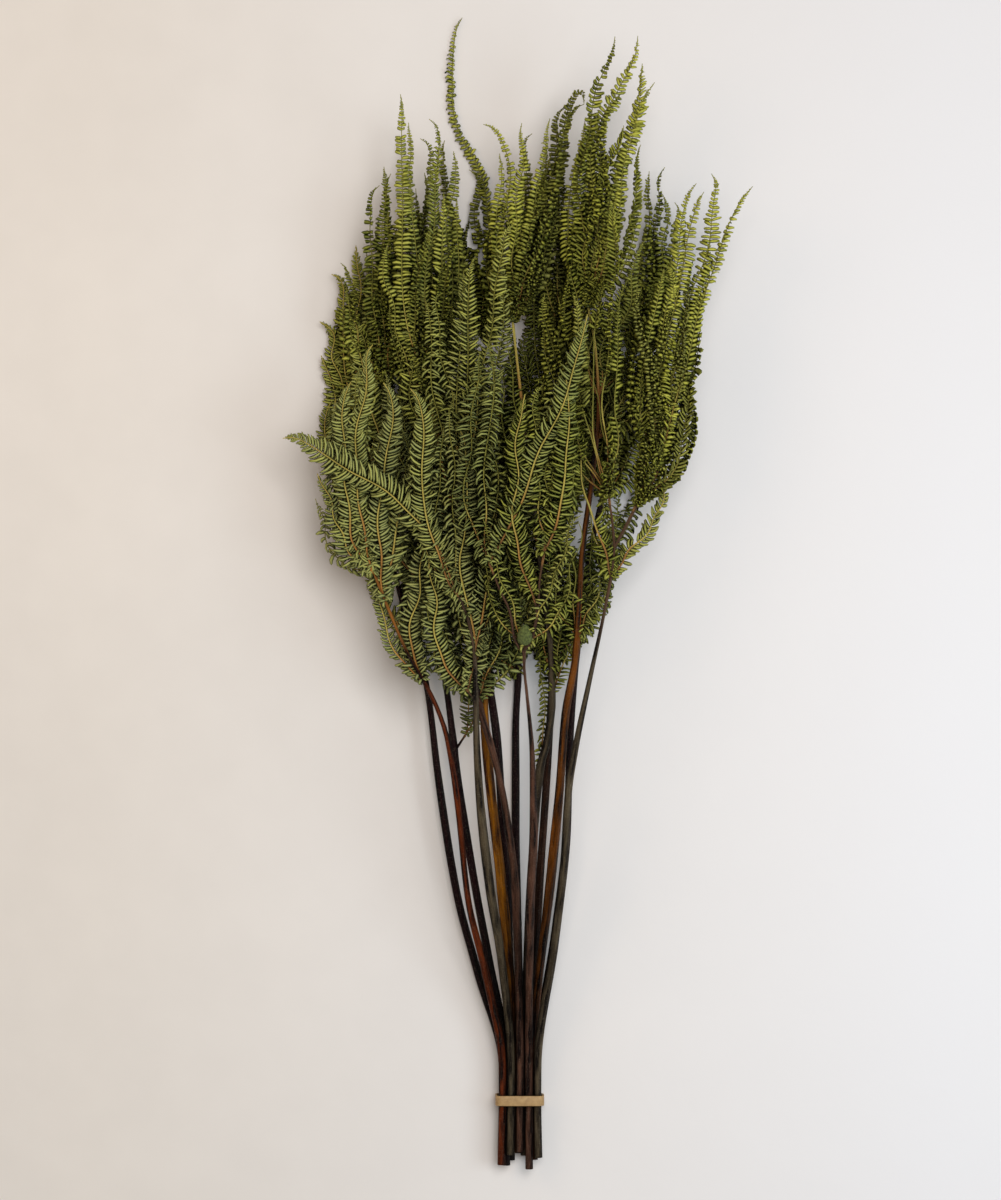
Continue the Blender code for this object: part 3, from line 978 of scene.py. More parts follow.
    def stray(self, plan: np.ndarray, share: np.ndarray, dice: random.Random) -> np.ndarray:
        """Bends a midline a little from side to side, and turns its tip.

        Args:
            plan: The plan points.
            share: Each point's share of the way.
            dice: The source of chance.

        Returns:
            The new plan points.
        """
        ahead = np.gradient(plan, axis=0)
        ahead /= np.linalg.norm(ahead, axis=1)[:, None]
        aside = np.stack([ahead[:, 1], -ahead[:, 0]], axis=1)
        waves = sum(
            dice.uniform(-1.0, 1.0) * np.sin(2 * np.pi * (turns * share + dice.random()))
            for turns in self.wave_turns
        )
        strayed = plan + aside * (self.wiggle * (waves - waves[0]) * smooth(share * 4.0))[:, None]
        turn = dice.uniform(-self.tip_turn, self.tip_turn)
        steps = np.diff(strayed, axis=0)
        left = run_length(strayed)[-1] * (1.0 - share[:-1])
        late = np.clip(1.0 - left / self.turn_length, 0.0, 1.0)
        angle = -np.radians(turn) * late**1.4
        turned = np.stack(
            [
                steps[:, 0] * np.cos(angle) - steps[:, 1] * np.sin(angle),
                steps[:, 0] * np.sin(angle) + steps[:, 1] * np.cos(angle),
            ],
            axis=1,
        )
        return np.vstack([strayed[:1], strayed[0] + np.cumsum(turned, axis=0)])


class Bench:
    """Blender's own modelling operators, as they are used on one piece at a time."""

    @staticmethod
    def clear_selection() -> None:
        """Leaves edit mode and deselects everything."""
        if bpy.context.object and bpy.context.object.mode != "OBJECT":
            bpy.ops.object.mode_set(mode="OBJECT")
        bpy.ops.object.select_all(action="DESELECT")

    @staticmethod
    def only(piece: bpy.types.Object) -> None:
        """Selects one piece and makes it active.

        Args:
            piece: The piece.
        """
        Bench.clear_selection()
        piece.select_set(True)
        bpy.context.view_layer.objects.active = piece

    @staticmethod
    def join(name: str, parts: list[bpy.types.Object]) -> bpy.types.Object:
        """Joins pieces into the first of them.

        Args:
            name: The joined piece's name.
            parts: The pieces.

        Returns:
            The joined piece.
        """
        Bench.only(parts[0])
        for part in parts[1:]:
            part.select_set(True)
        bpy.ops.object.join()
        joined = bpy.context.object
        joined.name = name
        joined.data.name = name
        return joined

    @staticmethod
    def paint(piece: bpy.types.Object, values: np.ndarray) -> None:
        """Gives a piece the attribute that its finishes read.

        Args:
            piece: The piece.
            values: Three numbers from 0 to 1 for each point.
        """
        filled = np.ones((len(values), 4), dtype=np.float32)
        filled[:, :3] = values
        tint = piece.data.attributes.get("tint") or piece.data.attributes.new("tint", "FLOAT_COLOR", "POINT")
        tint.data.foreach_set("color", filled.ravel())

    @staticmethod
    def points(piece: bpy.types.Object) -> np.ndarray:
        """A piece's points.

        Args:
            piece: The piece.

        Returns:
            One point to a row.
        """
        found = np.zeros(len(piece.data.vertices) * 3)
        piece.data.vertices.foreach_get("co", found)
        return found.reshape(-1, 3)


class Sheet:
    """A node tree that is written as one call to a node."""

    def __init__(self, tree: bpy.types.NodeTree) -> None:
        """Starts on a tree.

        Args:
            tree: The tree to write in.
        """
        self.tree = tree

    def add(self, kind: str, inputs: dict | None = None, **settings: object) -> bpy.types.Node:
        """Adds a node.

        Args:
            kind: The node's type, without its common start.
            inputs: Values or sockets for its inputs, by name or number.
            settings: The node's own settings.

        Returns:
            The node.
        """
        node = self.tree.nodes.new(kind if kind.startswith("Node") else "ShaderNode" + kind)
        for name, value in settings.items():
            setattr(node, name, value)
        for name, value in (inputs or {}).items():
            if isinstance(value, bpy.types.NodeSocket):
                self.tree.links.new(value, node.inputs[name])
            else:
                node.inputs[name].default_value = value
        return node

    def mix(self, share: object, first: object, second: object, blend: str = "MIX") -> bpy.types.NodeSocket:
        """Mixes two colours.

        Args:
            share: How much of the second.
            first: The first colour.
            second: The second colour.
            blend: How they are mixed.

        Returns:
            The colour.
        """
        node = self.add("Mix", {0: share, 6: first, 7: second}, data_type="RGBA", blend_type=blend)
        return node.outputs[2]

    def maths(self, operation: str, first: object, second: object = 0.0) -> bpy.types.NodeSocket:
        """Works out a number.

        Args:
            operation: What to do.
            first: The first number.
            second: The second number.

        Returns:
            The number.
        """
        return self.add("Math", {0: first, 1: second}, operation=operation, use_clamp=False).outputs[0]

    def ramp(self, value: object, stops: list[tuple[float, Colour]]) -> bpy.types.NodeSocket:
        """Turns a number into a colour.

        Args:
            value: The number.
            stops: Where each colour is.

        Returns:
            The colour.
        """
        node = self.add("ValToRGB", {0: value})
        elements = node.color_ramp.elements
        while len(elements) < len(stops):
            elements.new(0.5)
        for element, (place, shade) in zip(elements, stops):
            element.position = place
            element.color = shade
        return node.outputs[0]


class Effects:
    """Shader groups that more than one finish uses. Each is built once."""

    @staticmethod
    def _group(name: str, inputs: dict[str, tuple[str, float]], outputs: list[str]) -> bpy.types.NodeTree:
        """Starts a group.

        Args:
            name: Its name.
            inputs: Each input's socket type and value.
            outputs: Its number outputs.

        Returns:
            The group's tree.
        """
        tree = bpy.data.node_groups.new(name, "ShaderNodeTree")
        for label, (kind, value) in inputs.items():
            socket = tree.interface.new_socket(label, in_out="INPUT", socket_type=kind)
            if kind == "NodeSocketFloat":
                socket.default_value = value
        for label in outputs:
            tree.interface.new_socket(label, in_out="OUTPUT", socket_type="NodeSocketFloat")
        return tree

    @staticmethod
    def mottle() -> bpy.types.NodeTree:
        """Soft uneven patches.

        Returns:
            The group.
        """
        name = "mottle"
        if name in bpy.data.node_groups:
            return bpy.data.node_groups[name]
        numbers = {
            "Place": ("NodeSocketVector", 0.0),
            "Scale": ("NodeSocketFloat", 100.0),
            "Low": ("NodeSocketFloat", 0.0),
            "High": ("NodeSocketFloat", 1.0),
        }
        tree = Effects._group(name, numbers, ["Amount"])
        sheet = Sheet(tree)
        given = sheet.add("NodeGroupInput").outputs
        noise = sheet.add("TexNoise", {"Vector": given["Place"], "Scale": given["Scale"], "Detail": 3.0})
        mapped = sheet.add(
            "MapRange", {0: noise.outputs[0], 1: 0.34, 2: 0.66, 3: given["Low"], 4: given["High"]}, clamp=True
        )
        sheet.add("NodeGroupOutput", {"Amount": mapped.outputs[0]})
        return tree

    @staticmethod
    def streaks() -> bpy.types.NodeTree:
        """Fine lines that follow a piece's own length.

        Returns:
            The group.
        """
        name = "streaks"
        if name in bpy.data.node_groups:
            return bpy.data.node_groups[name]
        numbers = {
            "Place": ("NodeSocketVector", 0.0),
            "Around": ("NodeSocketFloat", 8.0),
            "Along": ("NodeSocketFloat", 2.0),
        }
        tree = Effects._group(name, numbers, ["Amount"])
        sheet = Sheet(tree)
        given = sheet.add("NodeGroupInput").outputs
        scale = sheet.add("CombineXYZ", {0: given["Around"], 1: given["Along"], 2: 1.0})
        stretched = sheet.add("VectorMath", {0: given["Place"], 1: scale.outputs[0]}, operation="MULTIPLY")
        lines = {"Vector": stretched.outputs[0], "Scale": 1.0, "Detail": 4.0, "Roughness": 0.62}
        noise = sheet.add("TexNoise", lines)
        mapped = sheet.add("MapRange", {0: noise.outputs[0], 1: 0.32, 2: 0.68, 3: 0.0, 4: 1.0}, clamp=True)
        sheet.add("NodeGroupOutput", {"Amount": mapped.outputs[0]})
        return tree


class Finish:
    """A material under construction: its sheet, its shader and the coordinates that it reads."""

    def __init__(self, name: str) -> None:
        """Starts a material.

        Args:
            name: The material's name.
        """
        self.material = bpy.data.materials.new(name)
        self.material.use_nodes = True
        self.sheet = Sheet(self.material.node_tree)
        self.shader = self.material.node_tree.nodes["Principled BSDF"]
        self.place = self.sheet.add("TexCoord").outputs["Object"]

    def effect(self, tree: bpy.types.NodeTree, values: dict) -> bpy.types.NodeSocket:
        """Places a shared effect.

        Args:
            tree: The effect's group.
            values: Values or sockets for its inputs.

        Returns:
            Its amount.
        """
        node = self.sheet.add("Group", node_tree=tree)
        for name, value in values.items():
            if isinstance(value, bpy.types.NodeSocket):
                self.sheet.tree.links.new(value, node.inputs[name])
            else:
                node.inputs[name].default_value = value
        return node.outputs["Amount"]

    def mottle(self, scale: float, low: float = 0.0, high: float = 1.0) -> bpy.types.NodeSocket:
        """Places soft uneven patches.

        Args:
            scale: How fine they are.
            low: Their lowest value.
            high: Their highest value.

        Returns:
            Their amount.
        """
        return self.effect(Effects.mottle(), {"Place": self.place, "Scale": scale, "Low": low, "High": high})

    def set(self, values: dict) -> None:
        """Sets the shader's sockets.

        Args:
            values: Values or sockets, by socket name.
        """
        for name, value in values.items():
            if isinstance(value, bpy.types.NodeSocket):
                self.sheet.tree.links.new(value, self.shader.inputs[name])
            else:
                self.shader.inputs[name].default_value = value

    def bump(self, height: bpy.types.NodeSocket, depth: float, strength: float = 1.0) -> None:
        """Adds relief.

        Args:
            height: The relief, 0 to 1.
            depth: How deep it is, in metres.
            strength: How much of it shows.
        """
        node = self.sheet.add("Bump", {"Height": height, "Distance": depth, "Strength": strength})
        self.set({"Normal": node.outputs[0]})


@dataclass(frozen=True)
class LeafFinish:
    """Dried fern leaf: olive green, with a grey bloom on some pinnae and paler midribs and undersides. The
    midribs are partly a painted highlight, and painted shade darkens the leaves where others lie close.
    """

    # The dark and light ends of the leaf tone, which mixes chance with painted light and shade by depth and
    # place.
    shade: Colour = colour(98, 108, 38)
    sun: Colour = colour(198, 198, 80)
    bloom: Colour = colour(144, 154, 108)
    underside: Colour = colour(150, 150, 90)
    # A paler midrib, partly a painted highlight along the crest of each leaflet.
    midrib_and_highlight: Colour = colour(186, 180, 96)
    dead: Colour = colour(84, 62, 28)
    # Painted shade: the near-black colour that a leaf turns to where other parts lie close around it.
    painted_shade: Colour = colour(8, 10, 2)
    # How far the painted shade reaches, and how strongly it darkens: most across the middle of the bunch,
    # less on its sides (flank), least towards the tips (heads).
    shade_distance: float = 0.034
    shade_power: tuple[float, float, float] = (1.6, 3.1, 0.95)
    flank: tuple[float, float] = (0.025, 0.085)
    heads: tuple[float, float] = (0.08, 0.26)

    def make(self) -> bpy.types.Material:
        """Builds the material.

        Returns:
            The material. It reads tone, bloom and underside from the attribute, and the blade's own map.
        """
        finish = Finish("fern_leaf")
        sheet = finish.sheet
        tint = sheet.add("SeparateColor", {0: sheet.add("Attribute", attribute_name="tint").outputs["Color"]})
        tone, bloom, under = tint.outputs[0], tint.outputs[1], tint.outputs[2]
        patches = finish.mottle(90.0, -0.18, 0.18)
        fine = finish.mottle(900.0, -0.16, 0.16)
        level = sheet.maths("ADD", sheet.maths("ADD", tone, patches), fine)
        green = sheet.mix(level, self.shade, self.sun)
        green = sheet.mix(sheet.maths("MULTIPLY", bloom, 0.75), green, self.bloom)
        green = sheet.mix(sheet.maths("MULTIPLY", under, 0.45), green, self.underside)
        blade = sheet.add("SeparateXYZ", {0: sheet.add("UVMap", uv_map="blade").outputs[0]})
        # A paler midrib down the middle of each leaflet, partly a painted highlight on its crest.
        middle = sheet.add("MapRange", {0: blade.outputs[1], 1: 0.62, 2: 1.0, 3: 0.0, 4: 0.42}, clamp=True)
        green = sheet.mix(middle.outputs[0], green, self.midrib_and_highlight)
        tip = sheet.add("MapRange", {0: blade.outputs[0], 1: 0.82, 2: 1.0, 3: 0.0, 4: 0.35}, clamp=True)
        green = sheet.mix(tip.outputs[0], green, self.dead)
        # Painted shade: an ambient occlusion node darkens the leaf towards its painted shade colour where
        # other parts lie close, more across the middle of the bunch than towards the tips.
        open_sky = sheet.add("AmbientOcclusion", {"Distance": self.shade_distance}, samples=3).outputs["AO"]
        place = sheet.add("SeparateXYZ", {0: finish.place}).outputs
        sides, middle, heads = self.shade_power
        aside = sheet.maths("ABSOLUTE", place[0], 0.0)
        across = {0: aside, 1: self.flank[0], 2: self.flank[1], 3: middle, 4: sides}
        below = sheet.add("MapRange", across, clamp=True).outputs[0]
        along = {0: place[1], 1: self.heads[0], 2: self.heads[1], 3: below, 4: heads}
        power = sheet.add("MapRange", along, clamp=True).outputs[0]
        green = sheet.mix(sheet.maths("POWER", open_sky, power), self.painted_shade, green)
        rough = finish.mottle(400.0, 0.42, 0.62)
        finish.set({"Base Color": green, "Roughness": rough, "Specular IOR Level": 0.05})
        finish.bump(fine, 0.0002, 0.5)
        return finish.material


@dataclass(frozen=True)
class WoodFinish:
    """A stem: its own colour at the foot, through orange to the yellow-green of the rachises, with painted
    shade where other parts lie close.
    """

    name: str
    base: Colour
    ridge: Colour
    patch: Colour
    roughness: float = 0.42
    young: Colour = colour(84, 62, 46)
    joint: Colour = colour(176, 128, 68)
    rachis: Colour = colour(190, 174, 88)
    fresh: Colour = colour(138, 136, 62)
    furrow: Colour = colour(14, 9, 10)
    speck: Colour = colour(150, 138, 120)
    # Painted shade: the near-black colour that a stem turns to where other parts lie close, how far that
    # reaches, and how strongly it darkens.
    painted_shade: Colour = colour(4, 2, 2)
    shade_distance: float = 0.02
    shade_power: float = 1.5

    def make(self) -> bpy.types.Material:
        """Builds the material.

        Returns:
            The material. It reads the wood's age from the attribute, and the stem's own map.
        """
        finish = Finish("stem_" + self.name)
        sheet = finish.sheet
        tint = sheet.add("SeparateColor", {0: sheet.add("Attribute", attribute_name="tint").outputs["Color"]})
        skin = sheet.add("UVMap", uv_map="UVMap").outputs[0]
        lines = finish.effect(Effects.streaks(), {"Place": skin, "Around": 9.0, "Along": 3.0})
        fine = finish.effect(Effects.streaks(), {"Place": skin, "Around": 30.0, "Along": 26.0})
        patches = finish.mottle(26.0)
        specks = finish.mottle(1300.0)
        sharp = sheet.add("MapRange", {0: lines, 1: 0.3, 2: 0.75, 3: 0.0, 4: 0.95}, clamp=True).outputs[0]
        bark = sheet.mix(sharp, self.base, self.ridge)
        bark = sheet.mix(sheet.maths("MULTIPLY", patches, 0.4), bark, self.patch)
        bark = sheet.mix(sheet.maths("MULTIPLY", fine, 0.3), bark, self.furrow)
        light = sheet.maths("MULTIPLY", sheet.maths("POWER", specks, 7.0), 0.2)
        bark = sheet.mix(light, bark, self.speck)
        uneven = sheet.maths("MULTIPLY", sheet.maths("SUBTRACT", lines, 0.5), 0.12)
        age = sheet.maths("ADD", tint.outputs[0], uneven)
        stages = [(0.3, self.young), (0.58, self.young), (0.7, self.joint), (0.82, self.rachis)]
        grown = sheet.ramp(age, [*stages, (1.0, self.fresh)])
        share = sheet.add("MapRange", {0: age, 1: 0.26, 2: 0.5, 3: 0.0, 4: 1.0}, clamp=True)
        skin_colour = sheet.mix(share.outputs[0], bark, grown)
        # Painted shade: an ambient occlusion node darkens the stem towards its painted shade colour where
        # other parts lie close.
        open_sky = sheet.add("AmbientOcclusion", {"Distance": self.shade_distance}, samples=3).outputs["AO"]
        skin_colour = sheet.mix(sheet.maths("POWER", open_sky, self.shade_power), self.painted_shade, skin_colour)
        finish.set({"Base Color": skin_colour, "Specular IOR Level": 0.05})
        rough = sheet.maths("ADD", sheet.maths("MULTIPLY", patches, 0.2), self.roughness - 0.1)
        finish.set({"Roughness": rough})
        finish.bump(sheet.maths("ADD", lines, sheet.maths("MULTIPLY", fine, 0.5)), 0.0005, 0.7)
        return finish.material


WOODS = {
    StemTone.DARK: WoodFinish("dark", colour(4, 1, 3), colour(36, 10, 14), colour(8, 3, 5), 0.3),
    StemTone.SPECKLED: WoodFinish("speckled", colour(8, 4, 4), colour(74, 44, 28), colour(26, 13, 10), 0.38),
    StemTone.GREY: WoodFinish("grey", colour(16, 12, 9), colour(98, 86, 66), colour(9, 6, 5), 0.42),
    StemTone.MAUVE: WoodFinish("mauve", colour(16, 6, 6), colour(106, 72, 56), colour(9, 4, 4), 0.38),
    StemTone.RUST: WoodFinish(
        "rust", colour(14, 3, 3), colour(118, 48, 12), colour(10, 3, 3), 0.34, colour(176, 120, 52)
    ),
    StemTone.AMBER: WoodFinish(
        "amber", colour(46, 15, 3), colour(172, 108, 20), colour(11, 5, 3), 0.36, colour(140, 82, 26)
    ),
    StemTone.EMBER: WoodFinish(
        "ember", colour(6, 2, 3), colour(132, 74, 15), colour(11, 4, 4), 0.34, colour(118, 68, 26)
    ),
}


@dataclass(frozen=True)
class PlainFinish:
    """A finish of two colours in patches: pith, buds, rubber and paper. The paper also has painted light: it
    turns cooler and lighter towards the right.
    """

    name: str
    first: Colour
    second: Colour
    scale: float
    roughness: tuple[float, float]
    relief: float
    # A colour that the finish shifts to towards the right, over right_reach: painted light on the paper.
    right: Colour | None = None
    right_reach: float = 1.0

    def make(self) -> bpy.types.Material:
        """Builds the material.

        Returns:
            The material.
        """
        finish = Finish(self.name)
        sheet = finish.sheet
        patches = finish.mottle(self.scale)
        fine = finish.mottle(self.scale * 7.0)
        both = sheet.maths("ADD", sheet.maths("MULTIPLY", patches, 0.65), sheet.maths("MULTIPLY", fine, 0.35))
        rough = finish.mottle(self.scale * 3.0, *self.roughness)
        skin = sheet.mix(both, self.first, self.second)
        # Painted light: a gradient across, to the right colour on the right.
        if self.right:
            across = sheet.add("SeparateXYZ", {0: finish.place}).outputs[0]
            reach = {0: across, 1: -self.right_reach, 2: self.right_reach, 3: 0.0, 4: 1.0}
            skin = sheet.mix(sheet.add("MapRange", reach, clamp=True).outputs[0], skin, self.right)
        finish.set({"Base Color": skin, "Roughness": rough})
        finish.bump(both, self.relief)
        return finish.material


PITH = PlainFinish("cut_pith", colour(112, 84, 58), colour(166, 136, 98), 900.0, (0.7, 0.9), 0.0003)
BUD = PlainFinish("bud_scales", colour(46, 56, 20), colour(112, 124, 58), 620.0, (0.6, 0.85), 0.0006)
RUBBER = PlainFinish("rubber", colour(150, 118, 76), colour(178, 146, 98), 300.0, (0.55, 0.7), 0.0001)
# The paper, with painted light: cooler and lighter towards the right.
PAPER = PlainFinish(
    "paper", colour(223, 217, 210), colour(229, 223, 216), 4.0, (0.8, 0.9), 0.0004, colour(229, 228, 230), 0.3
)


@dataclass
class Woodwork:
    """Builds the stems, branches, rachises and buds. Lengths are millimetres."""

    layout: Layout
    growth: Growth
    materials: dict[str, bpy.types.Material]
    stem_radius: float = 2.6
    stem_top_radius: float = 1.55
    branch_radius: float = 1.0
    branch_tip_radius: float = 0.6
    rachis_radius: float = 0.58
    rachis_tip_radius: float = 0.26
    rachis_samples: int = 30
    bare_thickness: float = 1.3
    bare_lift: float = 0.5
    straw_age: float = 0.82
    knuckle: float = 0.3
    ridges: int = 5
    ridge_depth: float = 0.1
    stem_age: float = 0.36
    fork_age: float = 0.62
    top_age: float = 0.84
    top_length: float = 130.0
    slim_share: float = 0.42
    full_share: float = 0.58
    stem_corners: int = 14
    rachis_corners: int = 5
    swell: float = 0.05
    bud_shape: tuple[float, float, float] = (0.64, 0.92, 0.55)
    knuckle_drop: float = 6.0
    knuckle_length: float = 7.0
    thick_start: tuple[float, float] = (110.0, 80.0)
    thick_end: tuple[float, float] = (400.0, 120.0)
    green_from: tuple[float, float] = (400.0, 80.0)
    thick: float = 1.14
    thickest: dict[str, float] = field(
        default_factory=lambda: {
            "frond_04": 1.3,
            "frond_08": 1.45,
            "frond_09": 1.3,
            "frond_12": 0.95,
            "frond_13": 1.42,
            "frond_14": 1.36,
        }
    )
    profiles: dict[str, bpy.types.Object] = field(default_factory=dict)

    def profile(self, name: str, corners: int, depth: float) -> bpy.types.Object:
        """The cross-section that a stem is drawn with.

        Args:
            name: The cross-section's name.
            corners: How many points it has.
            depth: How deep its grooves are, as a share of its radius.

        Returns:
            A closed curve of radius 1.
        """
        if name in self.profiles:
            return self.profiles[name]
        Bench.clear_selection()
        bpy.ops.curve.primitive_nurbs_path_add()
        made = bpy.context.object
        made.name = name
        made.data.splines.clear()
        spline = made.data.splines.new("POLY")
        spline.points.add(corners - 1)
        for i, point in enumerate(spline.points):
            angle = 2 * math.pi * i / corners
            radius = 1.0 + depth * math.cos(self.ridges * angle) + 0.5 * depth * math.sin(2 * angle + 0.6)
            point.co = (radius * math.cos(angle), radius * math.sin(angle), 0.0, 1.0)
        spline.use_cyclic_u = True
        self.profiles[name] = made
        return made

    def tubes(
        self, name: str, runs: list[tuple[np.ndarray, np.ndarray]], profile: bpy.types.Object
    ) -> bpy.types.Object:
        """Draws tubes along paths.

        Args:
            name: The piece's name.
            runs: Each path in metres, with its radii in millimetres.
            profile: The cross-section.

        Returns:
            One mesh with all the tubes.
        """
        Bench.clear_selection()
        bpy.ops.curve.primitive_nurbs_path_add()
        piece = bpy.context.object
        piece.name = name
        path = piece.data
        path.splines.clear()
        path.dimensions = "3D"
        path.twist_mode = "Z_UP"
        path.bevel_mode = "OBJECT"
        path.bevel_object = profile
        path.use_fill_caps = True
        for points, radii in runs:
            spline = path.splines.new("POLY")
            spline.points.add(len(points) - 1)
            spline.points.foreach_set("co", np.column_stack([points, np.ones(len(points))]).ravel())
            spline.points.foreach_set("radius", radii * MM)
        Bench.only(piece)
        bpy.ops.object.convert(target="MESH")
        bpy.ops.object.mode_set(mode="EDIT")
        bpy.ops.mesh.select_all(action="SELECT")
        bpy.ops.mesh.remove_doubles(threshold=0.00001)
        bpy.ops.mesh.normals_make_consistent(inside=False)
        bpy.ops.object.mode_set(mode="OBJECT")
        bpy.ops.object.shade_smooth_by_angle(angle=math.radians(50))
        return piece

    def age(
        self, piece: bpy.types.Object, runs: list[tuple[np.ndarray, np.ndarray]], ages: list[np.ndarray]
    ) -> None:
        """Paints a piece with the age of the nearest point of its paths.

        Args:
            piece: The piece.
            runs: The paths that it was drawn along.
            ages: Each path's ages, 0 at an old stem's foot and 1 at a rachis's tip.
        """
        centres = np.vstack([points for points, _ in runs])
        values = np.concatenate(ages)
        tree = KDTree(len(centres))
        for i, centre in enumerate(centres):
            tree.insert(centre, i)
        tree.balance()
        nearest = [tree.find(point)[1] for point in Bench.points(piece)]
        painted = np.zeros((len(nearest), 3))
        painted[:, 0] = values[nearest]
        Bench.paint(piece, painted)

    def stem(self, frond: Frond) -> bpy.types.Object:
        """Builds a frond's stem and branches.

        Args:
            frond: The frond.

        Returns:
            The piece.
        """
        flat = self.growth.stem(frond)
        y = flat[:, 1]
        taper = smooth((y - self.layout.band_y) / (y[-1] - self.layout.band_y))
        radii = self.stem_radius + (self.stem_top_radius - self.stem_radius) * taper
        dice = random.Random(f"{SEED} stem {frond.name}")
        radii = radii * (1.0 + self.swell * np.sin(y / dice.uniform(16, 24) + dice.uniform(0, 6)))
        thick = self.thickest.get(frond.name, self.thick) - 1.0
        rise = smooth((y - self.thick_start[0]) / self.thick_start[1])
        fall = smooth((self.thick_end[0] - y) / self.thick_end[1])
        radii = radii * (1.0 + thick * rise * fall)
        radii = radii * (self.slim_share + self.full_share * smooth((y[-1] - y) / self.top_length))
        for fork in frond.forks:
            below = (y - fork.at[1] + self.knuckle_drop) / self.knuckle_length
            radii = radii + self.knuckle * np.exp(-(below**2))
        runs = [(self.layout.lay(flat), radii)]
        old = self.stem_age * smooth((y - self.layout.fan_end) / (y[-1] - self.layout.fan_end)) ** 1.5
        tall = smooth((y[-1] - self.green_from[0]) / self.green_from[1])
        green_top = self.stem_age + (self.top_age - self.stem_age) * tall
        ages = [old + (green_top - old) * smooth((y - y[-1]) / self.top_length + 1.0)]
        for fork in frond.forks:
            branch = self.growth.branch(frond, fork)
            if branch is None:
                continue
            share = np.linspace(0.0, 1.0, len(branch))
            radii = self.branch_radius + (self.branch_tip_radius - self.branch_radius) * share
            radii = radii + self.knuckle * np.exp(-(((1.0 - share) / 0.12) ** 2))
            runs.append((self.layout.lay(branch), radii))
            first = np.interp(branch[0, 1], y, ages[0])
            ages.append(first + (self.fork_age - first) * smooth(share) ** 2)
        ridged = self.profile("ridged", self.stem_corners, self.ridge_depth)
        piece = self.tubes(frond.name + "_stem", runs, ridged)
        self.age(piece, runs, ages)
        piece.data.materials.append(self.materials[frond.tone.value])
        piece.data.materials.append(self.materials["pith"])
        cut = self.layout.lay(flat[:1])[0][1] + 0.0006
        for face in piece.data.polygons:
            if face.center.y < cut and abs(face.normal.y) > 0.9:
                face.material_index = 1
        return piece

    def rachises(self, frond: Frond, strands: list[Strand]) -> bpy.types.Object:
        """Builds the rachises of a frond's pinnae.

        Those of flat pinnae lie bare on top, thick and straw-coloured.

        Args:
            frond: The frond.
            strands: Its strands.

        Returns:
            The piece.
        """
        runs, ages = [], []
        for strand in strands:
            points = resample(strand.midline, self.rachis_samples)
            share = np.linspace(0.0, 1.0, len(points))
            taper = (self.rachis_radius - self.rachis_tip_radius) * (1.0 - share) ** 0.8
            radii = self.rachis_tip_radius + taper
            last_age = 1.0
            if strand.habit is Habit.FLAT:
                radii = radii * self.bare_thickness
                points[:, 2] += self.bare_lift * MM * smooth(share * 8.0)
                last_age = self.straw_age
            runs.append((points, radii))
            ages.append(self.fork_age + (last_age - self.fork_age) * smooth(share * 2.2))
        piece = self.tubes(frond.name + "_rachises", runs, self.profile("plain", self.rachis_corners, 0.0))
        self.age(piece, runs, ages)
        piece.data.materials.append(self.materials[frond.tone.value])
        return piece

    def bud(self, frond: Frond, fork: Fork) -> bpy.types.Object:
        """Builds a resting bud: an egg shape with low scales.

        Args:
            frond: The frond.
            fork: The fork that it sits in.

        Returns:
            The piece.
        """
        start, heading = self.growth.start(frond, fork, self.growth.branch(frond, fork))
        spot = start + heading * 0.5 * fork.bud
        height = self.layout.stem_height(frond, start[1])
        centre = self.layout.lay(np.array([[*spot, height]]))[0]
        Bench.clear_selection()
        bpy.ops.mesh.primitive_uv_sphere_add(segments=20, ring_count=12, radius=0.5 * fork.bud * MM)
        piece = bpy.context.object
        bpy.ops.object.mode_set(mode="EDIT")
        bpy.ops.mesh.select_all(action="SELECT")
        bpy.ops.transform.rotate(value=math.pi / 2, orient_axis="X", center_override=(0, 0, 0))
        bpy.ops.transform.resize(value=self.bud_shape, center_override=(0, 0, 0))
        bpy.ops.object.mode_set(mode="OBJECT")
        points = Bench.points(piece)
        along = points[:, 1] / (0.5 * fork.bud * MM)
        around = np.arctan2(points[:, 2], points[:, 0])
        scales = 1.0 + 0.07 * np.cos(6 * around + 9 * along) + 0.05 * np.sin(11 * along + 3 * around)
        narrow = (1.0 - 0.28 * along) * scales
        points[:, 0] *= narrow
        points[:, 2] *= narrow
        lean = math.atan2(-heading[0], heading[1])
        x, y = points[:, 0].copy(), points[:, 1].copy()
        points[:, 0] = x * math.cos(lean) - y * math.sin(lean)
        points[:, 1] = x * math.sin(lean) + y * math.cos(lean)
        piece.data.vertices.foreach_set("co", (points + centre).ravel())
        piece.data.update()
        Bench.only(piece)
        bpy.ops.object.shade_smooth()
        Bench.paint(piece, np.zeros((len(points), 3)))
        piece.data.materials.append(self.materials["bud"])
        return piece

    def build(self, frond: Frond, strands: list[Strand]) -> bpy.types.Object:
        """Builds the woody part of a frond.

        Args:
            frond: The frond.
            strands: Its strands.

        Returns:
            The piece.
        """
        parts = [self.stem(frond), self.rachises(frond, strands)]
        parts += [self.bud(frond, fork) for fork in frond.forks if fork.bud]
        piece = Bench.join(frond.name + "_wood", parts)
        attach(piece, "root")
        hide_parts(frond.name)
        log.info("%s: %d faces", piece.name, len(piece.data.polygons))
        return piece


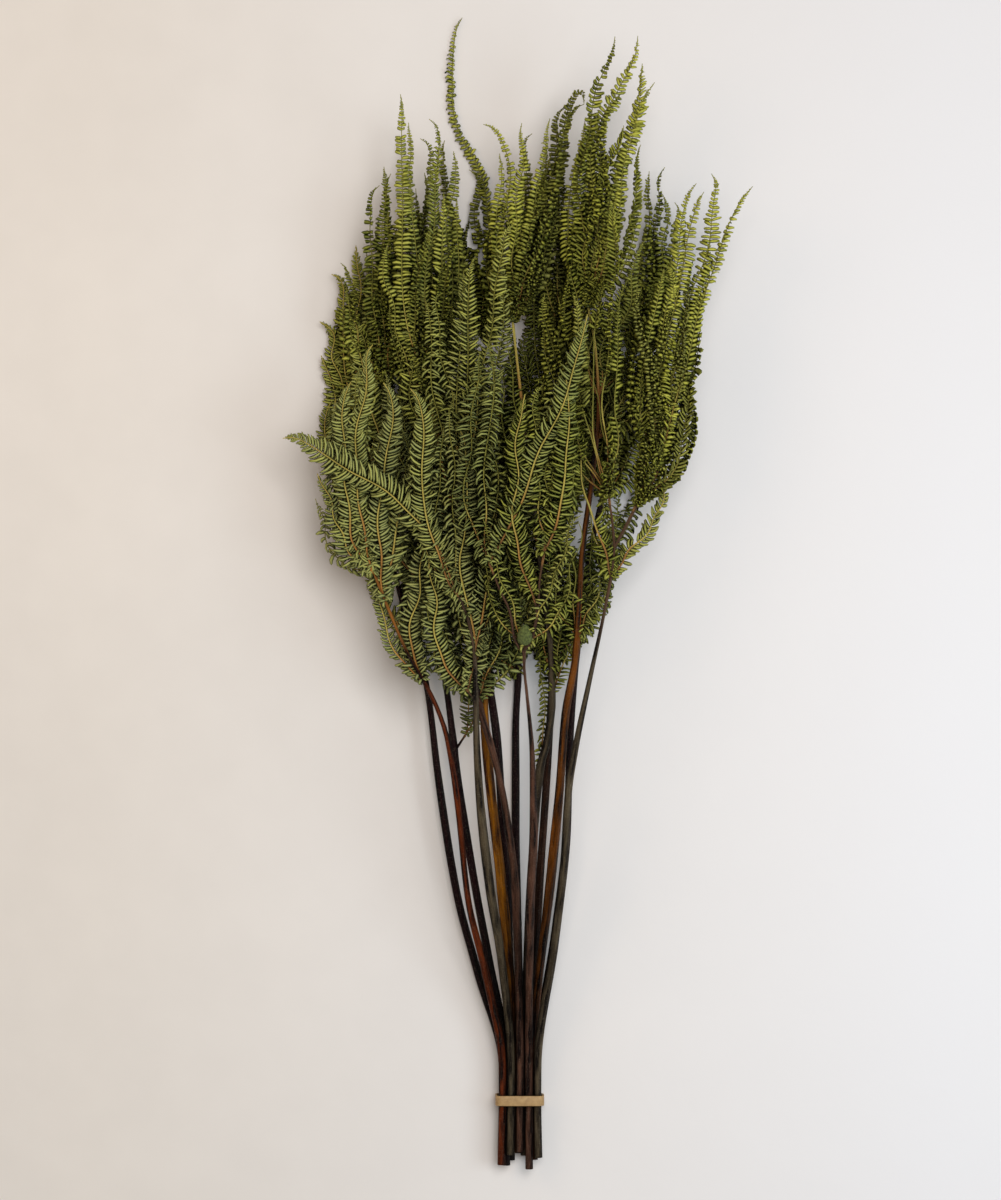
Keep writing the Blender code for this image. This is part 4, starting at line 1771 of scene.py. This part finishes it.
@dataclass
class Foliage:
    """Builds the leaflets. Lengths are millimetres."""

    material: bpy.types.Material
    bare_stem: np.ndarray
    bare_half_width: float = 4.4
    tip_taper_length: float = 46.0
    tip_taper_power: float = 0.62
    bare_tip: float = 8.0
    root_reach: float = 0.6
    root_share: float = 0.1
    shortest: float = 0.12
    closest: float = 0.44
    close_length: float = 26.0
    ground: float = 0.3
    turned_share: float = 0.16
    # Painted shade by depth: how much lighter the leaf tone is for each layer up, and darker for each layer
    # down.
    layer_shade: float = 0.014
    missing_share: float = 0.035
    pitch_range: tuple[float, float] = (0.92, 1.1)
    hook_range: tuple[float, float] = (0.6, 1.3)
    curl_range: tuple[float, float] = (0.75, 1.15)
    fold_range: tuple[float, float] = (0.5, 1.4)
    sweep_range: tuple[float, float] = (-4.0, 8.0)
    roped_sweep_range: tuple[float, float] = (-6.0, 26.0)
    roll_range: tuple[float, float] = (-0.8, 0.8)
    roll_wave: float = 0.6
    roll_turns: tuple[float, float] = (0.4, 1.3)
    curl_wave: float = 0.3
    curl_turns: tuple[float, float] = (0.6, 2.2)
    lean_chance: float = 0.6
    first_leaflet: float = 1.5
    last_leaflet: float = 0.8
    fine_steps: int = 400
    late_start: float = 0.75
    late_lean: float = 24.0
    size_chance: float = 0.08
    width_chance: float = 0.1
    twist_chance: float = 12.0
    root_chance: float = 0.1
    tones: tuple[float, float] = (0.2, 0.7)
    tone_chance: float = 0.18
    bloom_chance: float = 0.08
    middle_layer: int = 7
    stations: tuple[float, ...] = (0.0, 0.2, 0.54, 0.86)
    widths: tuple[float, ...] = (0.62, 0.96, 1.0, 0.7)
    crown: float = 0.32
    blade: np.ndarray = field(default_factory=lambda: np.zeros((0, 3)))
    faces: list[tuple[int, ...]] = field(default_factory=list)

    def model_leaflet(self) -> None:
        """Models one leaflet, 1 long and 1 wide, and keeps its points and faces."""
        Bench.clear_selection()
        upright = (0.0, math.pi / 2, 0.0)
        bpy.ops.mesh.primitive_circle_add(vertices=3, radius=0.5, fill_type="NGON", rotation=upright)
        piece = bpy.context.object
        bpy.ops.object.transform_apply(location=False, rotation=True, scale=False)
        bpy.ops.object.mode_set(mode="EDIT")
        bpy.ops.mesh.select_all(action="SELECT")
        width, x = self.widths[0], 0.0
        bpy.ops.transform.rotate(value=-math.pi / 2, orient_axis="X", center_override=(0, 0, 0))
        side = width / math.cos(math.pi / 6)
        bpy.ops.transform.resize(value=(1.0, side, self.crown), center_override=(0, 0, 0))
        for station, new_width in zip(self.stations[1:], self.widths[1:]):
            bpy.ops.mesh.extrude_region_move(TRANSFORM_OT_translate={"value": (station - x, 0.0, 0.0)})
            bpy.ops.transform.resize(value=(1.0, new_width / width, 1.0), center_override=(station, 0, 0))
            width, x = new_width, station
        bpy.ops.mesh.extrude_region_move(TRANSFORM_OT_translate={"value": (1.0 - x, 0.0, 0.0)})
        bpy.ops.mesh.merge(type="CENTER")
        bpy.ops.mesh.select_all(action="SELECT")
        bpy.ops.mesh.normals_make_consistent(inside=False)
        bpy.ops.object.mode_set(mode="OBJECT")
        self.blade = Bench.points(piece)
        self.faces = [tuple(face.vertices) for face in piece.data.polygons]
        bpy.data.objects.remove(piece)

    def reach(self, share: np.ndarray, length: float, reach: float) -> np.ndarray:
        """How long the leaflets are.

        Args:
            share: Each leaflet's share of the way to the pinna's tip.
            length: The pinna's length.
            reach: The longest leaflet.

        Returns:
            Their lengths.
        """
        from_tip = (1.0 - share) * length
        near_root = self.root_reach + (1.0 - self.root_reach) * smooth(share / self.root_share)
        taper = np.minimum(1.0, (from_tip / self.tip_taper_length) ** self.tip_taper_power)
        thin = smooth(from_tip / self.bare_tip)
        return reach * np.maximum(near_root * taper * thin, self.shortest)

    @staticmethod
    def wave(share: np.ndarray, turns: tuple[float, float], dice: np.random.Generator) -> np.ndarray:
        """A slow wave along a strand.

        Args:
            share: Each leaflet's share of the way to the tip.
            turns: The fewest and most turns that the wave makes.
            dice: The source of chance.

        Returns:
            The wave's height at each leaflet, -1 to 1.
        """
        return np.sin(2 * np.pi * (share * dice.uniform(*turns) + dice.random()))

    def leaflets(self, strand: Strand, dice: np.random.Generator) -> dict[str, np.ndarray]:
        """Where each leaflet of a strand grows, and how it is bent.

        Args:
            strand: The strand.
            dice: The source of chance.

        Returns:
            One row for each leaflet, by name.
        """
        habit: Posture = strand.habit.value
        midline = strand.midline
        along = run_length(midline) / MM
        length = along[-1]
        fine = np.linspace(self.first_leaflet, length - self.last_leaflet, self.fine_steps)
        closeness = np.clip(((length - fine) / self.close_length) ** 0.5, self.closest, 1.0)
        gaps = habit.pitch * strand.coarseness * dice.uniform(*self.pitch_range) * closeness
        counted = np.concatenate([[0.0], np.cumsum(np.diff(fine) / gaps[1:])])
        stops = np.interp(np.arange(int(counted[-1])), counted, fine)
        share = stops / length
        gap = np.interp(stops, fine, gaps)
        roots = np.stack([np.interp(stops, along, midline[:, axis]) for axis in range(3)], axis=1)
        ahead = np.gradient(midline, axis=0)
        ahead = np.stack([np.interp(stops, along, ahead[:, axis]) for axis in range(3)], axis=1)
        ahead /= np.linalg.norm(ahead, axis=1)[:, None]
        level = np.cross(ahead, [0.0, 0.0, 1.0])
        level /= np.linalg.norm(level, axis=1)[:, None]
        up = np.cross(level, ahead)
        turn = dice.uniform(*self.roll_range)
        turn = turn + self.roll_wave * self.wave(share, self.roll_turns, dice)
        turn = np.radians(habit.roll) * turn
        side = level * np.cos(turn)[:, None] + up * np.sin(turn)[:, None]
        top = up * np.cos(turn)[:, None] - level * np.sin(turn)[:, None]
        roped = strand.habit is Habit.ROPED
        hook = habit.hook * dice.uniform(*self.hook_range) * (dice.choice((-1.0, 1.0)) if roped else 1.0)
        over = dice.choice((-1.0, 1.0)) if roped else 1.0
        sweep = habit.sweep + dice.uniform(*(self.roped_sweep_range if roped else self.sweep_range))
        curl = habit.curl * over * dice.uniform(*self.curl_range)
        curl = curl + habit.curl * self.curl_wave * self.wave(share, self.curl_turns, dice)
        fold = habit.fold * dice.uniform(*self.fold_range)
        rows = []
        for hand in (-1.0, 1.0):
            kept = dice.random(len(stops)) > self.missing_share
            count = len(stops)
            stray = dice.normal(0.0, 1.0, (5, count))
            tilt = np.radians(fold + habit.unrest * stray[0])[:, None]
            late = self.late_lean * smooth((share - self.late_start) * 4.0)
            lean = np.radians(sweep + self.lean_chance * habit.unrest * stray[1] + late)[:, None]
            out = hand * side * np.cos(tilt) + top * np.sin(tilt)
            axis = out * np.cos(lean) + ahead * np.sin(lean)
            bend = ahead * np.cos(lean) - out * np.sin(lean)
            normal = np.cross(axis, bend) * hand
            size = self.reach(share, length, strand.reach * habit.size) * (1.0 + self.size_chance * stray[2])
            row = {
                "root": roots + dice.normal(0.0, self.root_chance * MM, (count, 3)),
                "axis": axis,
                "bend": bend,
                "normal": normal,
                "length": size,
                "width": gap * habit.width * (1.0 + self.width_chance * dice.normal(0.0, 1.0, count)),
                "hook": np.radians(hook + habit.unrest * stray[3]),
                "curl": np.radians(curl + habit.unrest * stray[4]),
                "twist": np.radians(dice.normal(0.0, self.twist_chance, count)),
                "share": share,
            }
            rows.append({name: values[kept] for name, values in row.items()})
        return {name: np.concatenate([row[name] for row in rows]) for name in rows[0]}

    def bend(self, rows: dict[str, np.ndarray]) -> np.ndarray:
        """Bends copies of the leaflet to their places.

        Args:
            rows: One row for each leaflet, as leaflets gives them.

        Returns:
            Points, by leaflet and then by point, in metres.
        """
        stations = np.array([*self.stations, 1.0])
        axis, bend, normal = (rows[name][:, None, :] for name in ("axis", "bend", "normal"))
        hook, curl = rows["hook"][:, None], rows["curl"][:, None]
        length = rows["length"][:, None] * MM

        def heading(x: np.ndarray) -> np.ndarray:
            """Which way each leaflet's middle line heads at a share of its length."""
            theta, psi = (hook * x)[..., None], (curl * x**1.3)[..., None]
            return np.cos(psi) * (np.cos(theta) * axis + np.sin(theta) * bend) - np.sin(psi) * normal

        steps = np.diff(stations)
        middles = heading(0.5 * (stations[1:] + stations[:-1]))
        centres = np.concatenate(
            [np.zeros((len(length), 1, 3)), np.cumsum(middles * (steps * length)[..., None], axis=1)], axis=1
        )
        which = np.abs(self.blade[:, :1] - stations).argmin(axis=1)
        x = stations[which]
        ahead = heading(np.broadcast_to(x, (len(length), len(x))))
        theta = (hook * x)[..., None]
        across = -np.sin(theta) * axis + np.cos(theta) * bend
        hand = np.sign(np.sum(np.cross(rows["axis"], rows["bend"]) * rows["normal"], axis=1))[:, None, None]
        across = across * hand
        face = np.cross(ahead, across)
        spin = (rows["twist"][:, None] * (0.3 + x))[..., None]
        side = across * np.cos(spin) + face * np.sin(spin)
        face = face * np.cos(spin) - across * np.sin(spin)
        width = rows["width"][:, None, None] * MM
        offset = side * self.blade[None, :, 1:2] * width + face * self.blade[None, :, 2:3] * width
        return rows["root"][:, None, :] + centres[:, which] + offset

    def clear_of_stem(self, points: np.ndarray) -> np.ndarray:
        """Which leaflets leave the bare stem in view.

        Args:
            points: Points, by leaflet and then by point, in metres.

        Returns:
            True for each leaflet that doesn't lie over it.
        """
        x, y, z = points[..., 0], points[..., 1], points[..., 2]
        bare_x, bare_y, bare_z = self.bare_stem.T
        across = np.interp(y, bare_y, bare_x, left=np.inf, right=np.inf)
        height = np.interp(y, bare_y, bare_z)
        over = (np.abs(x - across) < self.bare_half_width * MM) & (z > height)
        return ~over.any(axis=1)

    def build(self, frond: Frond, strands: list[Strand], floor: float) -> bpy.types.Object:
        """Builds a frond's leaflets.

        Args:
            frond: The frond.
            strands: Its strands.
            floor: The height of the surface that the bunch lies on.

        Returns:
            The piece.
        """
        dice = np.random.default_rng([SEED, frond.layer])
        placed, tints = [], []
        for strand in strands:
            blades = self.bend(self.leaflets(strand, dice))
            placed.append(blades[self.clear_of_stem(blades)])
            count = len(placed[-1])
            # Painted shade by depth, then painted light and shade by place: lower layers darker, upper ones
            # lighter.
            in_front = self.layer_shade * (frond.layer - self.middle_layer)
            tone = dice.uniform(*self.tones) + in_front + strand.light
            tone = tone + self.tone_chance * dice.normal(0.0, 1.0, count)
            bloom = np.clip(strand.bloom + self.bloom_chance * dice.normal(0.0, 1.0, count), 0.0, 1.0)
            turned = np.full(count, float(dice.random() < self.turned_share))
            tints.append(np.stack([np.clip(tone, 0.0, 1.0), bloom, turned], axis=1))
        points = np.concatenate(placed)
        tint = np.concatenate(tints)
        copies, corners = points.shape[:2]
        points = points.reshape(-1, 3)
        points[:, 2] = np.maximum(points[:, 2], floor + self.ground * MM)
        mesh = bpy.data.meshes.new(frond.name + "_leaflets")
        sizes = np.tile([len(face) for face in self.faces], copies)
        loops = np.concatenate([np.array(face) for face in self.faces])
        all_loops = (loops[None, :] + corners * np.arange(copies)[:, None]).ravel()
        mesh.vertices.add(len(points))
        mesh.vertices.foreach_set("co", points.ravel().astype(np.float32))
        mesh.loops.add(len(all_loops))
        mesh.loops.foreach_set("vertex_index", all_loops.astype(np.int32))
        mesh.polygons.add(len(sizes))
        mesh.polygons.foreach_set("loop_start", np.concatenate([[0], np.cumsum(sizes)[:-1]]).astype(np.int32))
        mesh.polygons.foreach_set("loop_total", sizes.astype(np.int32))
        mesh.update(calc_edges=True)
        mesh.validate()
        piece = bpy.data.objects.new(mesh.name, mesh)
        bpy.context.scene.collection.objects.link(piece)
        half = 0.5 * np.interp(self.blade[:, 0], self.stations, self.widths)
        ridge = 1.0 - np.abs(self.blade[:, 1]) / half
        chart = np.stack([self.blade[:, 0], np.clip(ridge, 0.0, 1.0)], axis=1)
        layer = mesh.uv_layers.new(name="blade")
        layer.data.foreach_set("uv", np.tile(chart[loops], (copies, 1)).ravel().astype(np.float32))
        Bench.paint(piece, np.repeat(tint, corners, axis=0))
        mesh.materials.append(self.material)
        Bench.only(piece)
        bpy.ops.object.shade_smooth()
        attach(piece, "root")
        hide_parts(frond.name)
        log.info("%s: %d leaflets, %d faces", piece.name, copies, len(sizes))
        return piece


@dataclass
class Band:
    """The rubber band: a flat strip, stretched round the stems."""

    layout: Layout
    material: bpy.types.Material
    rounding: float = 0.35

    def build(self) -> bpy.types.Object:
        """Builds the band over its node.

        Returns:
            The piece.
        """
        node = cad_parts["rubber_band"]
        Bench.clear_selection()
        piece = node.copy()
        piece.data = node.data.copy()
        piece.name = "band"
        piece.data.name = "band"
        bpy.context.scene.collection.objects.link(piece)
        Bench.only(piece)
        bpy.ops.object.mode_set(mode="EDIT")
        bpy.ops.mesh.select_all(action="SELECT")
        bpy.ops.mesh.remove_doubles(threshold=0.00001)
        bpy.ops.mesh.tris_convert_to_quads()
        bpy.ops.object.mode_set(mode="OBJECT")
        bevel = piece.modifiers.new("rounding", "BEVEL")
        bevel.width = self.rounding * MM
        bevel.segments = 2
        bevel.limit_method = "ANGLE"
        bpy.ops.object.modifier_apply(modifier=bevel.name)
        bpy.ops.object.shade_smooth_by_angle(angle=math.radians(40))
        piece.data.materials.clear()
        piece.data.materials.append(self.material)
        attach(piece, "root")
        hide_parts("rubber_band")
        log.info("%s: %d faces", piece.name, len(piece.data.polygons))
        return piece


@dataclass(frozen=True)
class Lamp:
    """A soft lamp that faces the bunch.

    Attributes:
        name: Its name.
        place: Where it is, in metres.
        size: How wide it is, in metres.
        power: Its power in watts.
        tint: Its colour.
    """

    name: str
    place: tuple[float, float, float]
    size: float
    power: float
    tint: tuple[float, float, float]


@dataclass
class Studio:
    """The surface, the lights and the camera. Lengths are metres."""

    paper: bpy.types.Material
    lamps: tuple[Lamp, ...] = (
        Lamp("key", (0.4, 0.35, 2.45), 1.3, 39.5, (1.0, 0.985, 0.97)),
        Lamp("left", (-0.8, 0.4, 0.9), 0.6, 2.2, (1.0, 0.7, 0.42)),
        Lamp("right", (0.85, -0.25, 0.9), 0.6, 4.6, (0.8, 0.92, 1.0)),
    )
    sky: Colour = (1.0, 0.955, 0.91, 1.0)
    sky_strength: float = 0.24
    paper_size: float = 6.0
    image_width: int = 1001
    image_height: int = 1200
    metres_per_pixel: float = 0.00069
    centre_pixel_x: float = 520.0
    base_pixel_y: float = 1165.0
    distance: float = 3.0
    sensor: float = 36.0
    plane: float = 0.055

    def floor(self) -> None:
        """Lays the paper."""
        Bench.clear_selection()
        bpy.ops.mesh.primitive_plane_add(size=self.paper_size)
        paper = bpy.context.object
        paper.name = "paper"
        paper.data.materials.append(self.paper)
        log.info("%s: %.1f m wide", paper.name, self.paper_size)

    def hang(self, lamp: Lamp) -> None:
        """Adds a lamp.

        Args:
            lamp: The lamp.
        """
        light = bpy.data.lights.new(lamp.name, "AREA")
        light.size = lamp.size
        light.energy = lamp.power
        light.color = lamp.tint
        hung = bpy.data.objects.new(lamp.name, light)
        hung.location = lamp.place
        towards = Vector((0.0, 0.0, 0.0)) - Vector(lamp.place)
        hung.rotation_euler = towards.to_track_quat("-Z", "Y").to_euler()
        bpy.context.scene.collection.objects.link(hung)

    def light(self) -> None:
        """Sets the lamps and the sky."""
        for lamp in self.lamps:
            self.hang(lamp)
        world = bpy.data.worlds.new("studio")
        world.use_nodes = True
        background = world.node_tree.nodes["Background"]
        background.inputs[0].default_value = self.sky
        background.inputs[1].default_value = self.sky_strength
        bpy.context.scene.world = world
        bpy.context.scene.view_settings.view_transform = "Standard"

    def camera(self, layout: Layout) -> None:
        """Sets the camera straight above, so that the frame covers what the photograph covers.

        Args:
            layout: Where the bunch lies.
        """
        x = (0.5 * self.image_width - self.centre_pixel_x) * self.metres_per_pixel + layout.shift[0]
        y = (self.base_pixel_y - 0.5 * self.image_height) * self.metres_per_pixel + layout.shift[1]
        lens = bpy.data.cameras.new("camera")
        lens.sensor_width = self.sensor
        lens.lens = self.sensor * self.distance / (self.image_height * self.metres_per_pixel)
        lens.clip_start, lens.clip_end = 0.1, 50.0
        camera = bpy.data.objects.new("camera", lens)
        camera.location = (x, y, self.plane + self.distance)
        bpy.context.scene.collection.objects.link(camera)
        bpy.context.scene.camera = camera


def main() -> None:
    """Builds the bunch and its surroundings."""
    logging.basicConfig(level=logging.INFO, format="%(name)s: %(message)s")
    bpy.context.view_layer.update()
    layout = Layout()
    layout.settle(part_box("rubber_band"))
    growth = Growth(layout)
    materials = {tone.value: wood.make() for tone, wood in WOODS.items()}
    materials["pith"] = PITH.make()
    materials["bud"] = BUD.make()
    woodwork = Woodwork(layout, growth, materials)
    foliage = Foliage(LeafFinish().make(), layout.bare_stem())
    foliage.model_leaflet()
    for frond in FRONDS:
        dice = random.Random(f"{SEED} {frond.name}")
        strands = []
        for number, fork in enumerate(frond.forks):
            for place in range(len(fork.pinnae)):
                strands += growth.strands(frond, number, fork, place, dice)
        woodwork.build(frond, strands)
        foliage.build(frond, strands, layout.shift[2])
    Band(layout, RUBBER.make()).build()
    for profile in woodwork.profiles.values():
        bpy.data.objects.remove(profile)
    studio = Studio(PAPER.make())
    studio.floor()
    studio.light()
    studio.camera(layout)


if __name__ == "__main__":
    main()
